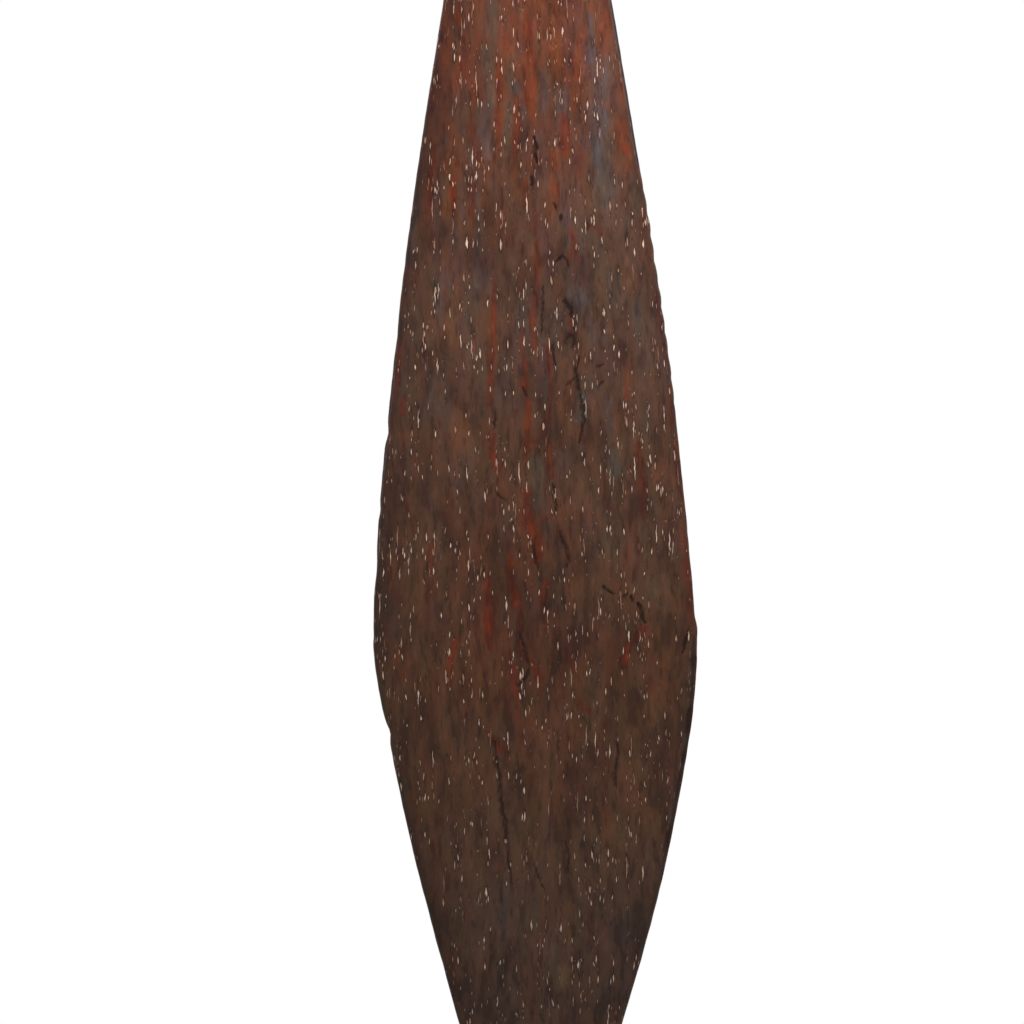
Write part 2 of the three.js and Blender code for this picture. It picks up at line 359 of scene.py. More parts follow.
def plainForm(z):
    # half widths, half depths and squareness of the plain timber at each height
    above = np.clip(-z / blade["throatToWidest"], 0, 1)
    below = np.clip((-z - blade["throatToWidest"]) / blade["widestToTip"], 0, 1)
    upTip = np.clip((z - blade["tip"]) / blade["tipRound"], 0, 1)
    rounding = np.sqrt(1 - (1 - upTip) ** 2)
    sides = {}
    for name, (spread, taper) in sideCurves.items():
        spreading = mix(shaft["throatWidth"] / 2, blade["width"] / 2, spread(above))
        sides[name] = np.where(below > 0, blade["width"] / 2 * taper(below), spreading)
    halfThick = mix(blade["thickness"] / 2, blade["tipThickness"] / 2, thinned(below))
    depth = mix(halfThick, shaft["throatDepth"] / 2, throatLeft(above))
    land = mix(blade["backLand"], shaft["throatDepth"] / 2, throatLeft(above))
    squared = np.clip(above / blade["squaredBy"], 0, 1)

    upShaft = np.clip(z / shaft["length"], 0, 1)
    halfWidth = mix(shaft["throatWidth"], shaft["upperWidth"], upShaft) / 2
    halfDepth = mix(shaft["throatDepth"], shaft["upperDepth"], upShaft) / 2
    upButt = z - shaft["length"]
    upBand = np.clip(upButt / butt["bandHeight"], 0, 1)
    band = butt["bandProud"] * np.sqrt(1 - (2 * upBand - 1) ** 2)
    upHead = np.clip((upButt - butt["bandHeight"]) / (butt["height"] - butt["bandHeight"]), 0, 1)
    upDome = np.clip((upHead - butt["fullestShare"]) / (1 - butt["fullestShare"]), 0, 1)
    swelling = headSwell(upHead / butt["fullestShare"])
    falling = 1 - np.sqrt(1 - upDome ** 2)
    halfWidth = mix(mix(halfWidth, butt["width"] / 2, swelling), butt["crownWidth"] / 2, falling) + band
    halfDepth = mix(mix(halfDepth, butt["depth"] / 2, swelling), butt["crownDepth"] / 2, falling) + band

    onBlade = z < 0
    headSquare = mix(2, butt["exponent"], np.clip(upHead / butt["squaredBy"], 0, 1))
    return {
        "left": np.where(onBlade, rounding * sides["left"], halfWidth),
        "right": np.where(onBlade, rounding * sides["right"], halfWidth),
        "depth": np.where(onBlade, rounding * depth, halfDepth),
        "land": np.where(onBlade, land, 1.0),
        "rib": np.where(onBlade, blade["ribHeight"] * ribLeft(above), 0),
        "front": np.where(onBlade, mix(2, blade["frontExponent"], squared), headSquare),
        "back": np.where(onBlade, mix(2, blade["backExponent"], squared), headSquare),
    }


# The timber body: a disc extruded through stations, subdivided, then worked as with an adze

body = {
    "pointsRound": 40,
    "subdivisions": 2,
    "tipStations": 5,
    "lowerStep": 0.0115,  # between stations below the photographed stretch
    "shownStep": 0.008,  # along the photographed stretch of blade
    "throatStep": 0.016,
    "shaftStep": 0.056,
    "bandStep": 0.0013,
    "headStep": 0.0026,
    "shownFrom": -0.540,
    "shownTo": -0.125,
    "bandMargins": (0.004, 0.003),  # below and above the neck band, with stations as close as on it
    "crownInset": 1.2 * mm,
    "fineMargin": 2.5,  # how far round a crack the faces are finer, and finest, in its half widths
    "finestMargin": 1.2,
    "fineStreak": 0.1,  # the strength from which a red streak has finer faces
}

# Cracks and pits on the front of the blade: each path is (across, down, half width) in photograph
# pixels, and the depth is in millimetres
cracks = {
    "upperPit": (0.9, [(534, 137, 0.8), (536, 146, 1.9), (535, 155, 2.2), (537, 163, 0.8)]),
    "smallPit": (0.5, [(531, 177, 1.2), (532, 183, 1.8), (531, 186, 0.8)]),
    "knotPit": (0.5, [(554, 204, 1.2), (556, 209, 1.4)]),
    "roundPit": (0.6, [(561, 216, 1.6), (560, 221, 1.6)]),
    "hookPit": (0.5, [(556, 262, 1.0), (562, 257, 1.5), (567, 262, 1.2), (568, 267, 0.7)]),
    "bluePit": (0.7, [(566, 302, 2.2), (568, 306, 3.0), (571, 311, 2.2), (571, 318, 0.8)]),
    "centreSeam": (0.3, [(543, 286, 0.7), (543, 306, 1.2), (542, 322, 1.4), (541, 338, 0.7)]),
    "kneeRing": (0.35, [(566, 343, 2.0), (569, 336, 2.6), (573, 337, 2.6), (574, 348, 2.0)]),
    "leanSeam": (0.4, [(553, 346, 1.2), (553, 356, 1.9), (555, 366, 0.9)]),
    "rightSeam": (0.6, [
        (579, 357, 0.8), (576, 374, 1.6), (578, 383, 2.0), (580, 396, 1.2), (583, 408, 2.2),
        (584, 422, 2.2), (581, 436, 1.2), (579, 444, 0.8),
    ]),
    "slantSeam": (0.3, [(566, 386, 0.9), (570, 384, 1.4), (575, 379, 1.2)]),
    "farNick": (0.3, [(598, 368, 0.9), (603, 366, 1.1)]),
    "farNickBelow": (0.3, [(599, 387, 0.9), (603, 383, 1.1)]),
    "redSeam": (0.4, [(495, 408, 0.9), (495, 420, 1.5), (494, 429, 0.9)]),
    "dropPit": (0.4, [(523, 388, 1.3), (525, 393, 1.7), (527, 396, 0.8)]),
    "leftPit": (0.4, [(496, 491, 0.8), (499, 496, 1.3), (503, 499, 1.1)]),
    "tallPit": (0.5, [(553, 484, 0.8), (554, 496, 1.9), (557, 506, 2.0), (555, 516, 0.8)]),
    "bentSeam": (0.6, [
        (560, 532, 1.0), (562, 541, 2.2), (567, 551, 1.8), (569, 560, 1.6), (567, 568, 0.8),
    ]),
    "lowSeam": (0.4, [(533, 546, 1.0), (535, 558, 2.0), (538, 568, 1.2)]),
    "chainOne": (0.8, [(603, 588, 1.4), (608, 592, 1.8), (612, 595, 0.9)]),
    "chainTwo": (0.4, [(624, 598, 1.3), (627, 595, 1.0)]),
    "chainThree": (0.7, [(631, 598, 1.5), (633, 603, 1.7)]),
    "chainFour": (0.9, [(638, 605, 1.6), (641, 611, 2.6), (643, 620, 1.8), (645, 625, 0.8)]),
    "edgeSplit": (0.5, [(688, 634, 0.8), (686, 642, 1.3), (684, 650, 1.5), (683, 655, 0.8)]),
    "midSplit": (0.5, [
        (520, 634, 0.8), (524, 648, 1.5), (529, 668, 1.4), (527, 676, 1.6), (519, 686, 0.9),
    ]),
    "mainCrack": (0.5, [
        (495, 741, 0.7), (496, 752, 1.3), (497, 764, 2.0), (500, 774, 1.5), (500, 790, 2.1),
        (501, 800, 1.5), (503, 812, 2.1), (505, 822, 2.4), (506, 836, 1.8), (508, 848, 1.2),
        (508, 862, 1.1), (511, 875, 0.8), (512, 889, 0.5),
    ]),
    "lowerCrack": (0.4, [(565, 842, 0.6), (569, 856, 1.2), (568, 872, 0.6)]),
    "lastCrack": (0.3, [(534, 866, 0.6), (539, 879, 1.1), (545, 891, 0.6)]),
    "farSeam": (0.35, [(617, 743, 0.7), (618, 756, 1.2), (615, 772, 1.1), (616, 789, 0.6)]),
}

# Red and grey streaks on the front of the blade: strength, then a path like a crack's
redStreaks = [
    (0.8, [(527, 26, 4), (527, 40, 4)]),
    (0.8, [(530, 56, 7), (531, 80, 8), (529, 98, 7)]),
    (0.9, [(573, 56, 4), (577, 80, 4)]),
    (0.8, [(499, 60, 4), (498, 110, 4), (499, 150, 3), (490, 176, 3)]),
    (1.2, [(516, 96, 3), (517, 125, 3), (516, 152, 2.5)]),
    (0.9, [(531, 100, 4), (532, 125, 3), (530, 142, 3)]),
    (1.3, [(563, 116, 4), (565, 140, 5), (566, 156, 4)]),
    (1.0, [(619, 122, 5), (621, 138, 7), (626, 150, 6)]),
    (0.8, [(469, 124, 4), (475, 150, 3), (478, 166, 3)]),
    (0.8, [(436, 142, 3), (432, 170, 4), (430, 214, 3)]),
    (0.8, [(531, 150, 3), (533, 168, 3)]),
    (0.6, [(578, 150, 5), (578, 180, 4)]),
    (0.8, [(553, 158, 3), (556, 172, 3)]),
    (0.8, [(525, 182, 3), (527, 206, 3)]),
    (0.8, [(453, 184, 4), (455, 210, 4)]),
    (0.7, [(556, 186, 4), (562, 212, 4), (568, 236, 5)]),
    (0.9, [(472, 188, 5), (471, 214, 4)]),
    (0.6, [(540, 205, 6), (536, 228, 6)]),
    (1.8, [(583, 224, 1.6), (590, 228, 2), (605, 234, 1.2)]),
    (0.7, [(520, 244, 4), (521, 268, 4), (521, 294, 3)]),
    (0.7, [(538, 244, 4), (537, 284, 4), (536, 320, 4)]),
    (1.3, [(535, 292, 2), (534, 322, 3.5), (535, 346, 2.5)]),
    (0.8, [(572, 246, 3), (569, 262, 3)]),
    (0.5, [(438, 262, 5), (437, 298, 4)]),
    (1.0, [(494, 276, 1.5), (494, 300, 2), (493, 350, 3.5), (491, 380, 4.5), (490, 404, 5), (491, 412, 3)]),
    (1.0, [(570, 316, 3), (571, 326, 3.5)]),
    (1.4, [(521, 330, 3.5), (522, 350, 3.5), (525, 372, 3.5), (526, 388, 4.5)]),
    (1.1, [(549, 344, 2.5), (550, 366, 3.5), (551, 384, 4), (549, 408, 3), (545, 432, 3.5)]),
    (1.3, [(528, 400, 3), (528, 422, 4), (527, 442, 4), (525, 458, 3)]),
    (1.3, [(492, 432, 2.5), (492, 452, 3.5), (497, 468, 3)]),
    (1.1, [(528, 452, 3), (534, 444, 3), (543, 437, 3.5)]),
    (1.1, [(549, 444, 3), (550, 462, 3.5), (551, 478, 2)]),
    (0.8, [(637, 444, 3), (641, 476, 4), (644, 518, 4)]),
    (0.6, [(449, 478, 5), (450, 506, 6)]),
    (1.3, [(526, 488, 3), (527, 506, 4), (530, 520, 5)]),
    (0.9, [(540, 522, 3), (548, 518, 3), (554, 513, 3.5)]),
    (2.0, [(530, 520, 4), (535, 530, 5), (538, 545, 5), (536, 562, 4)]),
    (0.6, [(433, 542, 4), (431, 568, 3)]),
    (0.6, [(626, 548, 3), (627, 576, 3)]),
    (1.8, [(510, 556, 2.5), (511, 568, 4), (513, 586, 4), (516, 604, 4)]),
    (1.6, [(518, 592, 3), (520, 610, 4), (521, 630, 3.5)]),
    (1.3, [(488, 578, 3), (488, 600, 3.5), (488, 625, 3.5), (490, 648, 3)]),
    (1.7, [(545, 582, 3), (544, 604, 4), (545, 632, 3)]),
    (0.7, [(378, 588, 4), (376, 608, 4)]),
    (1.3, [(643, 630, 5), (636, 640, 5), (627, 650, 5), (625, 666, 5)]),
    (1.7, [(521, 644, 3), (524, 656, 4), (532, 664, 3.5)]),
    (1.2, [(457, 640, 5), (453, 652, 6), (450, 668, 4), (449, 680, 3)]),
    (1.1, [(513, 668, 5), (516, 680, 5), (517, 696, 3)]),
    (1.1, [(534, 668, 5), (540, 680, 5)]),
    (0.9, [(566, 650, 3), (570, 660, 3), (574, 674, 3)]),
    (0.8, [(579, 700, 3), (584, 710, 4), (596, 716, 3)]),
    (1.2, [(486, 732, 3), (492, 738, 5), (496, 744, 4)]),
    (2.2, [(496, 740, 3), (500, 750, 4)]),
    (0.8, [(399, 334, 3), (397, 372, 3), (394, 400, 2)]),
    (1.4, [(404, 398, 3), (402, 412, 3)]),
    (0.45, [(668, 390, 4), (675, 440, 6), (682, 520, 7), (686, 580, 6), (690, 625, 4)]),
]
greyStreaks = [
    (1.0, [(493, 0, 6), (494, 30, 6), (494, 50, 4)]),
    (0.6, [(592, 20, 6), (590, 60, 6)]),
    (1.0, [(455, 26, 4), (456, 50, 4.5), (454, 72, 3)]),
    (1.0, [(488, 52, 6), (490, 78, 6), (492, 104, 5)]),
    (0.9, [(512, 58, 3), (512, 78, 4), (514, 94, 5)]),
    (0.6, [(608, 60, 6), (606, 96, 6)]),
    (0.9, [(544, 74, 4), (545, 92, 5), (543, 112, 4)]),
    (0.9, [(565, 92, 5), (563, 104, 6), (564, 114, 4)]),
    (0.8, [(508, 104, 5), (508, 130, 5), (507, 152, 4)]),
    (0.7, [(482, 108, 8), (484, 130, 8), (488, 152, 5)]),
    (0.6, [(524, 108, 5), (524, 122, 4)]),
    (0.9, [(596, 112, 8), (603, 132, 12), (602, 152, 12), (604, 166, 9)]),
    (0.6, [(446, 136, 4), (447, 152, 4)]),
    (0.6, [(443, 180, 5), (443, 196, 5)]),
    (0.7, [(604, 182, 12), (602, 200, 12)]),
    (0.5, [(574, 296, 10), (588, 300, 10)]),
    (0.8, [(581, 396, 5), (582, 420, 6)]),
    (0.7, [(612, 458, 8), (616, 470, 8)]),
    (0.8, [(536, 456, 4), (536, 480, 6), (538, 508, 5)]),
]

# Broad soft patches: middle, half width and half length in photograph pixels, and the tint's share
tints = {
    "shade": (0.84, 0.82, 0.82),
    "bleach": (1.03, 1.14, 1.2),
    # mauve paints a sheen, a glossy reflection on the upper right of the blade
    "mauve": (1.03, 1.16, 1.5),
    "ember": (1.02, 0.88, 0.8),
    "blue": (0.84, 0.98, 1.2),
    "bare": (1.4, 1.5, 1.45),
    "light": (1.16, 1.13, 1.06),
    "rust": (0.96, 0.76, 0.62),
}
# the mauve patch at the upper right is a painted sheen
patches = [
    ("mauve", 592, 50, 24, 110, 0.8), ("bleach", 596, 160, 26, 60, 0.5),
    ("rust", 440, 150, 24, 80, 0.9), ("shade", 440, 235, 40, 26, 0.6),
    ("bleach", 630, 330, 30, 120, 0.4), ("shade", 545, 640, 30, 60, 0.4),
    ("ember", 540, 50, 40, 130, 0.5), ("bleach", 610, 260, 40, 60, 0.7),
    ("bleach", 450, 340, 50, 80, 0.6), ("bleach", 600, 450, 60, 130, 0.5),
    ("ember", 510, 590, 60, 110, 0.9), ("shade", 520, 600, 34, 120, 0.5),
    ("bleach", 440, 540, 34, 120, 0.5), ("bleach", 630, 560, 44, 100, 0.5),
    ("bleach", 600, 740, 40, 60, 0.4), ("ember", 500, 680, 60, 50, 0.6),
    ("blue", 500, 900, 30, 40, 0.8), ("blue", 622, 930, 34, 50, 0.8),
    ("bleach", 540, 930, 30, 70, 0.5), ("light", 452, 980, 30, 60, 1.0),
    ("bare", 565, 978, 6.5, 9.5, 2.0), ("rust", 452, 30, 22, 60, 1.0),
    ("shade", 490, 40, 20, 60, 1.0), ("bleach", 560, 295, 60, 60, 0.9),
    ("bleach", 470, 310, 50, 80, 0.5), ("light", 668, 715, 28, 90, 1.0),
    ("light", 410, 740, 30, 60, 0.5), ("shade", 570, 341, 9, 10, 1.6),
    ("blue", 568, 307, 6, 9, 1.3), ("shade", 480, 268, 26, 24, 0.6),
    ("light", 567, 362, 7, 10, 0.9), ("bleach", 560, 595, 90, 45, 0.5),
]
streakLip = (-0.4, 0.6)  # from a streak's outside to its full strength, in its half widths
# painted shade: the blade's front darkens towards its left rim, as where it turns from the light
paintedLeftShade = {"shade": 0.42, "reach": 0.008}  # how much darker the left rim is, and how far in that reaches


def onFace(across, down):
    # where a photograph pixel falls on the front of the blade
    x = (across - photo["axisAtTop"] - photo["axisDrift"] * down) * photo["scale"]
    z = -blade["throatToWidest"] + (photo["widestRow"] - down) * photo["scale"]
    return x, z


def pathShape(x, z, path):
    # how far inside a path each face point is: 1 on its middle line, 0 at its lip, and below 0 outside
    deepest = np.full(len(x), -20.0)
    places = [(*onFace(across, down), half * photo["scale"]) for across, down, half in path]
    for (fromX, fromZ, fromHalf), (toX, toZ, toHalf) in zip(places, places[1:]):
        alongX = toX - fromX
        alongZ = toZ - fromZ
        share = np.clip(((x - fromX) * alongX + (z - fromZ) * alongZ) / (alongX ** 2 + alongZ ** 2), 0, 1)
        distance = np.hypot(x - fromX - share * alongX, z - fromZ - share * alongZ)
        deepest = np.maximum(deepest, 1 - distance / mix(fromHalf, toHalf, share))
    return deepest


def streakShape(x, z, streaks):
    # the strongest streak at each face point, soft at its lip
    mask = np.zeros(len(x))
    for strength, path in streaks:
        mask = np.maximum(mask, strength * smoothStep(pathShape(x, z, path), *streakLip))
    return mask


def patchTint(x, z, fromLeft):
    # the tint that the broad patches, a painted sheen among them, and the painted shade on the left rim
    # give each point
    darkness = paintedLeftShade["shade"] * np.exp(-np.clip(fromLeft, 0, 1) / paintedLeftShade["reach"])
    tint = np.ones((len(x), 3)) * (1 - darkness[:, None])
    for name, across, down, halfWide, halfLong, share in patches:
        atX, atZ = onFace(across, down)
        weight = share * bump(x, atX, halfWide * photo["scale"]) * bump(z, atZ, halfLong * photo["scale"])
        tint *= mix(1, np.array(tints[name]), weight[:, None])
    return tint


def stationHeights():
    below, above = body["bandMargins"]
    lifts = np.linspace(0, math.pi / 2, body["tipStations"] + 1)[1:]
    heights = list(blade["tip"] + blade["tipRound"] * (1 - np.cos(lifts)))
    spans = [
        (body["shownFrom"], body["lowerStep"]),
        (body["shownTo"], body["shownStep"]),
        (0.0, body["throatStep"]),
        (shaft["length"] - below, body["shaftStep"]),
        (shaft["length"] + butt["bandHeight"] + above, body["bandStep"]),
        (shaft["length"] + butt["height"], body["headStep"]),
    ]
    for end, step in spans:
        count = max(1, round((end - heights[-1]) / step))
        heights += list(np.linspace(heights[-1], end, count + 1)[1:])
    return heights


def blockOutBody():
    heights = stationHeights()
    form = plainForm(np.array(heights))
    drawnIn = (2 + math.cos(2 * math.pi / body["pointsRound"])) / 3  # subdivision shrinks a ring by this
    widths = (form["left"] + form["right"]) / 2 / drawnIn
    depths = form["depth"] / drawnIn
    bpy.ops.mesh.primitive_circle_add(
        vertices=body["pointsRound"], radius=1, fill_type="NGON", location=(0, 0, heights[0])
    )
    billet = bpy.context.object
    billet.name = "paddle_timber"
    bpy.ops.object.transform_apply(location=True, rotation=True, scale=True)
    bpy.ops.object.mode_set(mode="EDIT")
    middle = (0, 0, heights[0])
    bpy.ops.transform.resize(value=(widths[0], depths[0], 1), center_override=middle)
    for i in range(1, len(heights)):
        wider = widths[i] / widths[i - 1]
        extrudeTo(heights[i], heights[i] - heights[i - 1], wider, depths[i] / depths[i - 1])
    bpy.ops.mesh.inset(thickness=body["crownInset"])  # holds the crown flat
    faceOutwards()
    smooth = billet.modifiers.new("smooth", "SUBSURF")
    smooth.levels = body["subdivisions"]
    smooth.render_levels = body["subdivisions"]
    bpy.ops.object.modifier_apply(modifier=smooth.name)
    return billet


def refineWhere(billet, test, cuts):
    # finer faces on the front of the blade where the test says so
    x, y, z = triples(billet.data.polygons, "center").T
    near = test(x, z) & (y < 0)
    selectFaces(billet, near)
    bpy.ops.mesh.subdivide(number_cuts=cuts)
    bpy.ops.object.mode_set(mode="OBJECT")
    print("refined faces:", int(near.sum()))


def nearCracks(x, z, margin):
    near = np.zeros(len(x), bool)
    for _, path in cracks.values():
        near |= pathShape(x, z, path) > -margin
    return near


def nearMarks(x, z):
    return nearCracks(x, z, body["fineMargin"]) | (streakShape(x, z, redStreaks) > body["fineStreak"])


# The carving of the butt

carving = {
    "mouthLine": 0.315,  # shares of the butt's height
    "tongueLine": 0.24,
    "noseFoot": 0.435,
    "noseTop": 0.674,
    "browLine": 0.696,
    "templeLine": 0.56,
    "hairSpan": ((0.76, 0.8), (0.97, 0.93)),
    "mouthHalf": (0.012, 0.008),
    "mouthCut": 0.003,
    "mouthWall": 1 / 3,  # of the mouth's half size, taken up by the slope down to its floor
    "lipProud": 0.0016,
    "lipHalf": 0.0028,
    "tongueHalf": (0.0038, 0.008),
    "tongueProud": 0.003,
    "noseHalf": (0.0054, 0.0026),
    "noseProud": (0.0046, 0.0018),
    "noseEnds": (0.2, 0.4),  # of its height, over which it comes out of the face
    "nostrilDepth": 0.0012,
    "nostrilSide": (0.0042, 0.0011),  # its place and half width, then its place and half height
    "nostrilUp": (0.12, 0.1),  # the same, as shares of the nose
    "browHalf": 0.003,
    "browProud": 0.0027,
    "browReach": 0.021,
    "browSlant": 0.5,
    "lidHalf": 0.0011,
    "lidProud": 0.0009,
    "lidGap": 0.0013,  # from the socket's wall to the lid's crest
    "grooveDepth": 0.00045,
    "groovePitch": 0.0026,
    "tongueGroove": 0.0005,  # half widths
    "browGroove": 0.0015,
    "tongueGrooveLong": 0.8,  # share of the tongue
    "ringSpan": ((0.0003, 0.0012), (0.0095, 0.0075)),  # rings round the mouth, out from the lip
    "ringFoot": (0.011, 0.016),
    "ringGap": 0.005,  # half width left free under the nose and beside the tongue
    "spiralTurns": 2.6,
    "spiralEnd": 0.0015,
    "templeSpan": (0.72, 0.86),  # shares of the butt's half width
    "hairDepth": 0.8,  # share of the common depth
    "hairSpacing": 0.018,  # the radius on which the forehead's grooves have the common pitch
    "fade": 0.006,
    "tongueUnshaded": (0.25, 0.55),  # where on the tongue the mouth's painted shade ends
}

eye = {
    "turn": math.radians(31),
    "shellRadius": 0.0062,
    "shellHole": 0.0022,
    "shellThickness": 0.0012,
    "bevel": 0.25 * mm,
    "gap": 0.0003,
    "pegHead": 0.003,
    "pegHeadHeight": 0.0015,
    "pegShank": 0.0017,
    "pegShankLength": 0.0084,
    "pegDome": (0, 18, 36, 54, 70, 82),  # degrees up the head's dome at each ring of its faces
    "facets": 48,
    "smoothUnder": math.radians(40),
    "backReach": 0.006,  # how far behind its floor the timber still belongs to an eye
    "hollowShade": (0.0007, 0.0004),  # how far the socket's painted shade goes out from its wall, and in
}


def eyeFrames():
    # each eye's socket floor and outward direction, from the shell's place in the frame
    frames = {}
    for facing, ahead in (("front", -1), ("back", 1)):
        for side, across in (("left", -1), ("right", 1)):
            low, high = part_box(f"{facing}_{side}_eye_shell")
            outward = Vector((across * math.sin(eye["turn"]), ahead * math.cos(eye["turn"]), 0))
            middle = (Vector(low) + Vector(high)) / 2
            floor = middle - outward * (eye["shellThickness"] / 2 + eye["gap"])
            frames[f"{facing}_{side}"] = (floor, outward)
    return frames


def rippled(value, pitch):
    # rounded grooves at a pitch: 1 in a groove and 0 between two
    return np.clip(np.cos(2 * math.pi * value / pitch), 0, 1) ** 2


def carveHead(points):
    # how far the carving stands out of the plain head, and how deep its hollows are, which sets the painted
    # shade in them
    up = points[:, 2] - shaft["length"]
    height = butt["height"]
    pitch = carving["groovePitch"]
    turned = np.arctan2(points[:, 0], np.abs(points[:, 1]))
    across = turned * np.hypot(points[:, 0], points[:, 1])
    side = np.abs(across)

    mouthWide, mouthHigh = carving["mouthHalf"]
    fromLip = np.hypot(across / mouthWide, (up - carving["mouthLine"] * height) / mouthHigh) - 1
    lipOffset = fromLip * mouthHigh
    lip = carving["lipProud"] * bump(lipOffset, 0, carving["lipHalf"])
    hollow = carving["mouthCut"] * np.clip(-fromLip / carving["mouthWall"], 0, 1)
    tongueWide, tongueHigh = carving["tongueHalf"]
    upTongue = (up - carving["tongueLine"] * height) / tongueHigh
    onTongue = bump(across, 0, tongueWide) * bump(upTongue, 0, 1)
    tongue = carving["tongueProud"] * onTongue
    tongueGroove = 0.5 * carving["grooveDepth"] * bump(across, 0, carving["tongueGroove"])
    tongueGroove = tongueGroove * bump(upTongue, 0, carving["tongueGrooveLong"])

    noseSpan = (carving["noseTop"] - carving["noseFoot"]) * height
    upNose = (up - carving["noseFoot"] * height) / noseSpan
    footEnd, topEnd = carving["noseEnds"]
    bridge = mix(*carving["noseProud"], np.clip(upNose, 0, 1))
    bridge = bridge * np.clip(1 + upNose / footEnd, 0, 1) * np.clip(1 + (1 - upNose) / topEnd, 0, 1)
    nose = bridge * bump(across, 0, mix(*carving["noseHalf"], np.clip(upNose, 0, 1)))
    nostril = bump(side, *carving["nostrilSide"]) * bump(upNose, *carving["nostrilUp"])

    overBrow = up - carving["browLine"] * height - carving["browSlant"] * side
    browEnd = np.clip((carving["browReach"] - side) / carving["browHalf"], 0, 1)
    brow = carving["browProud"] * bump(overBrow, 0, carving["browHalf"]) * browEnd
    notches = 0.5 + 0.5 * np.cos(2 * math.pi * side / pitch)
    browNotch = carving["grooveDepth"] * notches * bump(overBrow, 0, carving["browGroove"]) * browEnd

    lipRings = rippled(lipOffset, pitch) * within(lipOffset, *carving["ringSpan"])
    lipRings = lipRings * (1 - bump(side, 0, carving["ringGap"])) * smoothStep(up, *carving["ringFoot"])

    # a spiral on each temple, at the side of the head
    spiralX = points[:, 1]
    spiralZ = up - carving["templeLine"] * height
    spiralRadius = np.hypot(spiralX, spiralZ)
    spiralTurn = np.arctan2(spiralZ, spiralX) / (2 * math.pi)
    reach = carving["spiralTurns"] * pitch
    spiral = rippled(spiralRadius - 2 * spiralTurn * pitch, pitch)
    templeFrom, templeTo = (share * butt["width"] / 2 for share in carving["templeSpan"])
    spiral = spiral * smoothStep(np.abs(points[:, 0]), templeFrom, templeTo)
    spiral = spiral * smoothStep(spiralRadius, reach, reach - carving["spiralEnd"])

    # grooves that run up over the forehead
    hairFoot, hairTop = carving["hairSpan"]
    hair = rippled(turned * carving["hairSpacing"], pitch)
    hair = hair * smoothStep((up - carving["browSlant"] * side) / height, *hairFoot)
    hair = hair * smoothStep(up / height, *hairTop)

    grooves = carving["grooveDepth"] * (lipRings + spiral + carving["hairDepth"] * hair)
    grooves = grooves + browNotch + tongueGroove + carving["nostrilDepth"] * nostril
    fade = np.clip((up - butt["bandHeight"]) / carving["fade"], 0, 1)
    fade = fade * np.clip((height - up) / carving["fade"], 0, 1)
    raised = fade * (lip - hollow + tongue + nose + brow - grooves)
    inMouth = hollow / carving["mouthCut"] * (1 - smoothStep(onTongue, *carving["tongueUnshaded"]))
    sunk = fade * (grooves / carving["grooveDepth"] + inMouth)
    return raised, sunk


# Wear and tool marks. A span is the two heights between which it sets in, and the two where it runs out

wear = {
    "edgeExponent": 5,  # keeps what happens to the edges close to them
    "edgeFade": 0.1,  # metres below the throat over which it comes in
    "rightProud": 0.35 * mm,  # how far the whole right edge stands out
    "facetDepth": 0.45 * mm,  # facets of the adze along the right edge
    "facetPitch": 9.3 * mm,
    "facetSpan": ((-0.30, -0.285), (-0.195, -0.21)),
    "shoulderDepth": 0.9 * mm,
    "shoulderStep": (-0.3705, -0.3765),
    "shoulderReach": 0.03,
    "chips": [  # height, depth and half length of each chip in the left edge
        (-0.2985, 0.8 * mm, 0.0035), (-0.329, 0.5 * mm, 0.003), (-0.4155, 0.9 * mm, 0.003),
        (-0.352, 0.4 * mm, 0.006), (-0.262, 0.3 * mm, 0.005),
    ],
    "waves": (0.16 * mm, (1, 1, 0.017), 3.0),  # share, size and seed of the waves along the edges
    "ripples": (0.14 * mm, (0.3, 1, 0.0048), 8.0),
    "bevelWidth": 3.2 * mm,
    "bevelRagged": 0.4,  # how far the ripples change its width
    "bevelSlope": 1.1,
    "bevelDepth": 3 * mm,  # the blade's half depth from which the bevel has its full slope
    "bevels": {  # share of the width, and the span
        "low": (1.0, (-0.372, -0.386), (-0.484, -0.462)),
        "high": (0.36, (-0.205, -0.19), (-0.03, -0.1)),
        "left": (0.4, (-0.36, -0.34), (-0.25, -0.27)),
    },
    "bevelDark": (0.35, 0.8),  # the share of the bevel over which its painted shade and dirt set in
    "paleRim": 0.8 * mm,  # rubbed pale outside the bevel's painted shade and dirt, below the high one
    "paleRimTop": -0.2,
    "rimReach": 5 * mm,
    "adze": [(1.0, (0.012, 0.02, 0.045), 11.0), (0.5, (0.006, 0.01, 0.02), 23.0)],  # share, size and seed
    "adzeDepths": (0.05 * mm, 0.17 * mm),  # on the shaft and on the blade
    "adzeFade": (0.02, -0.1),
    "crackRagged": (0.5, (0.0009, 0.0011, 0.0016), 31.0),
    "crackJagged": (0.3 * mm, (0.02, 0.02, 0.0014), 37.0),
    "crackWall": (-0.1, 0.9),  # from the lip to the full depth, in the crack's half widths
    "crackDark": (-1.5, 1.0),
    "crackEnd": 0.05,  # how near the turn of the edge a crack may come, as a share of the half depth
    "bandShade": (0.9, 1.2 * mm),  # how strong the painted shade along the neck band's rims is, and how far it reaches
}


def roughnessOf(points, share, stretch, seed):
    return share * roughness3d(points, stretch, seed)


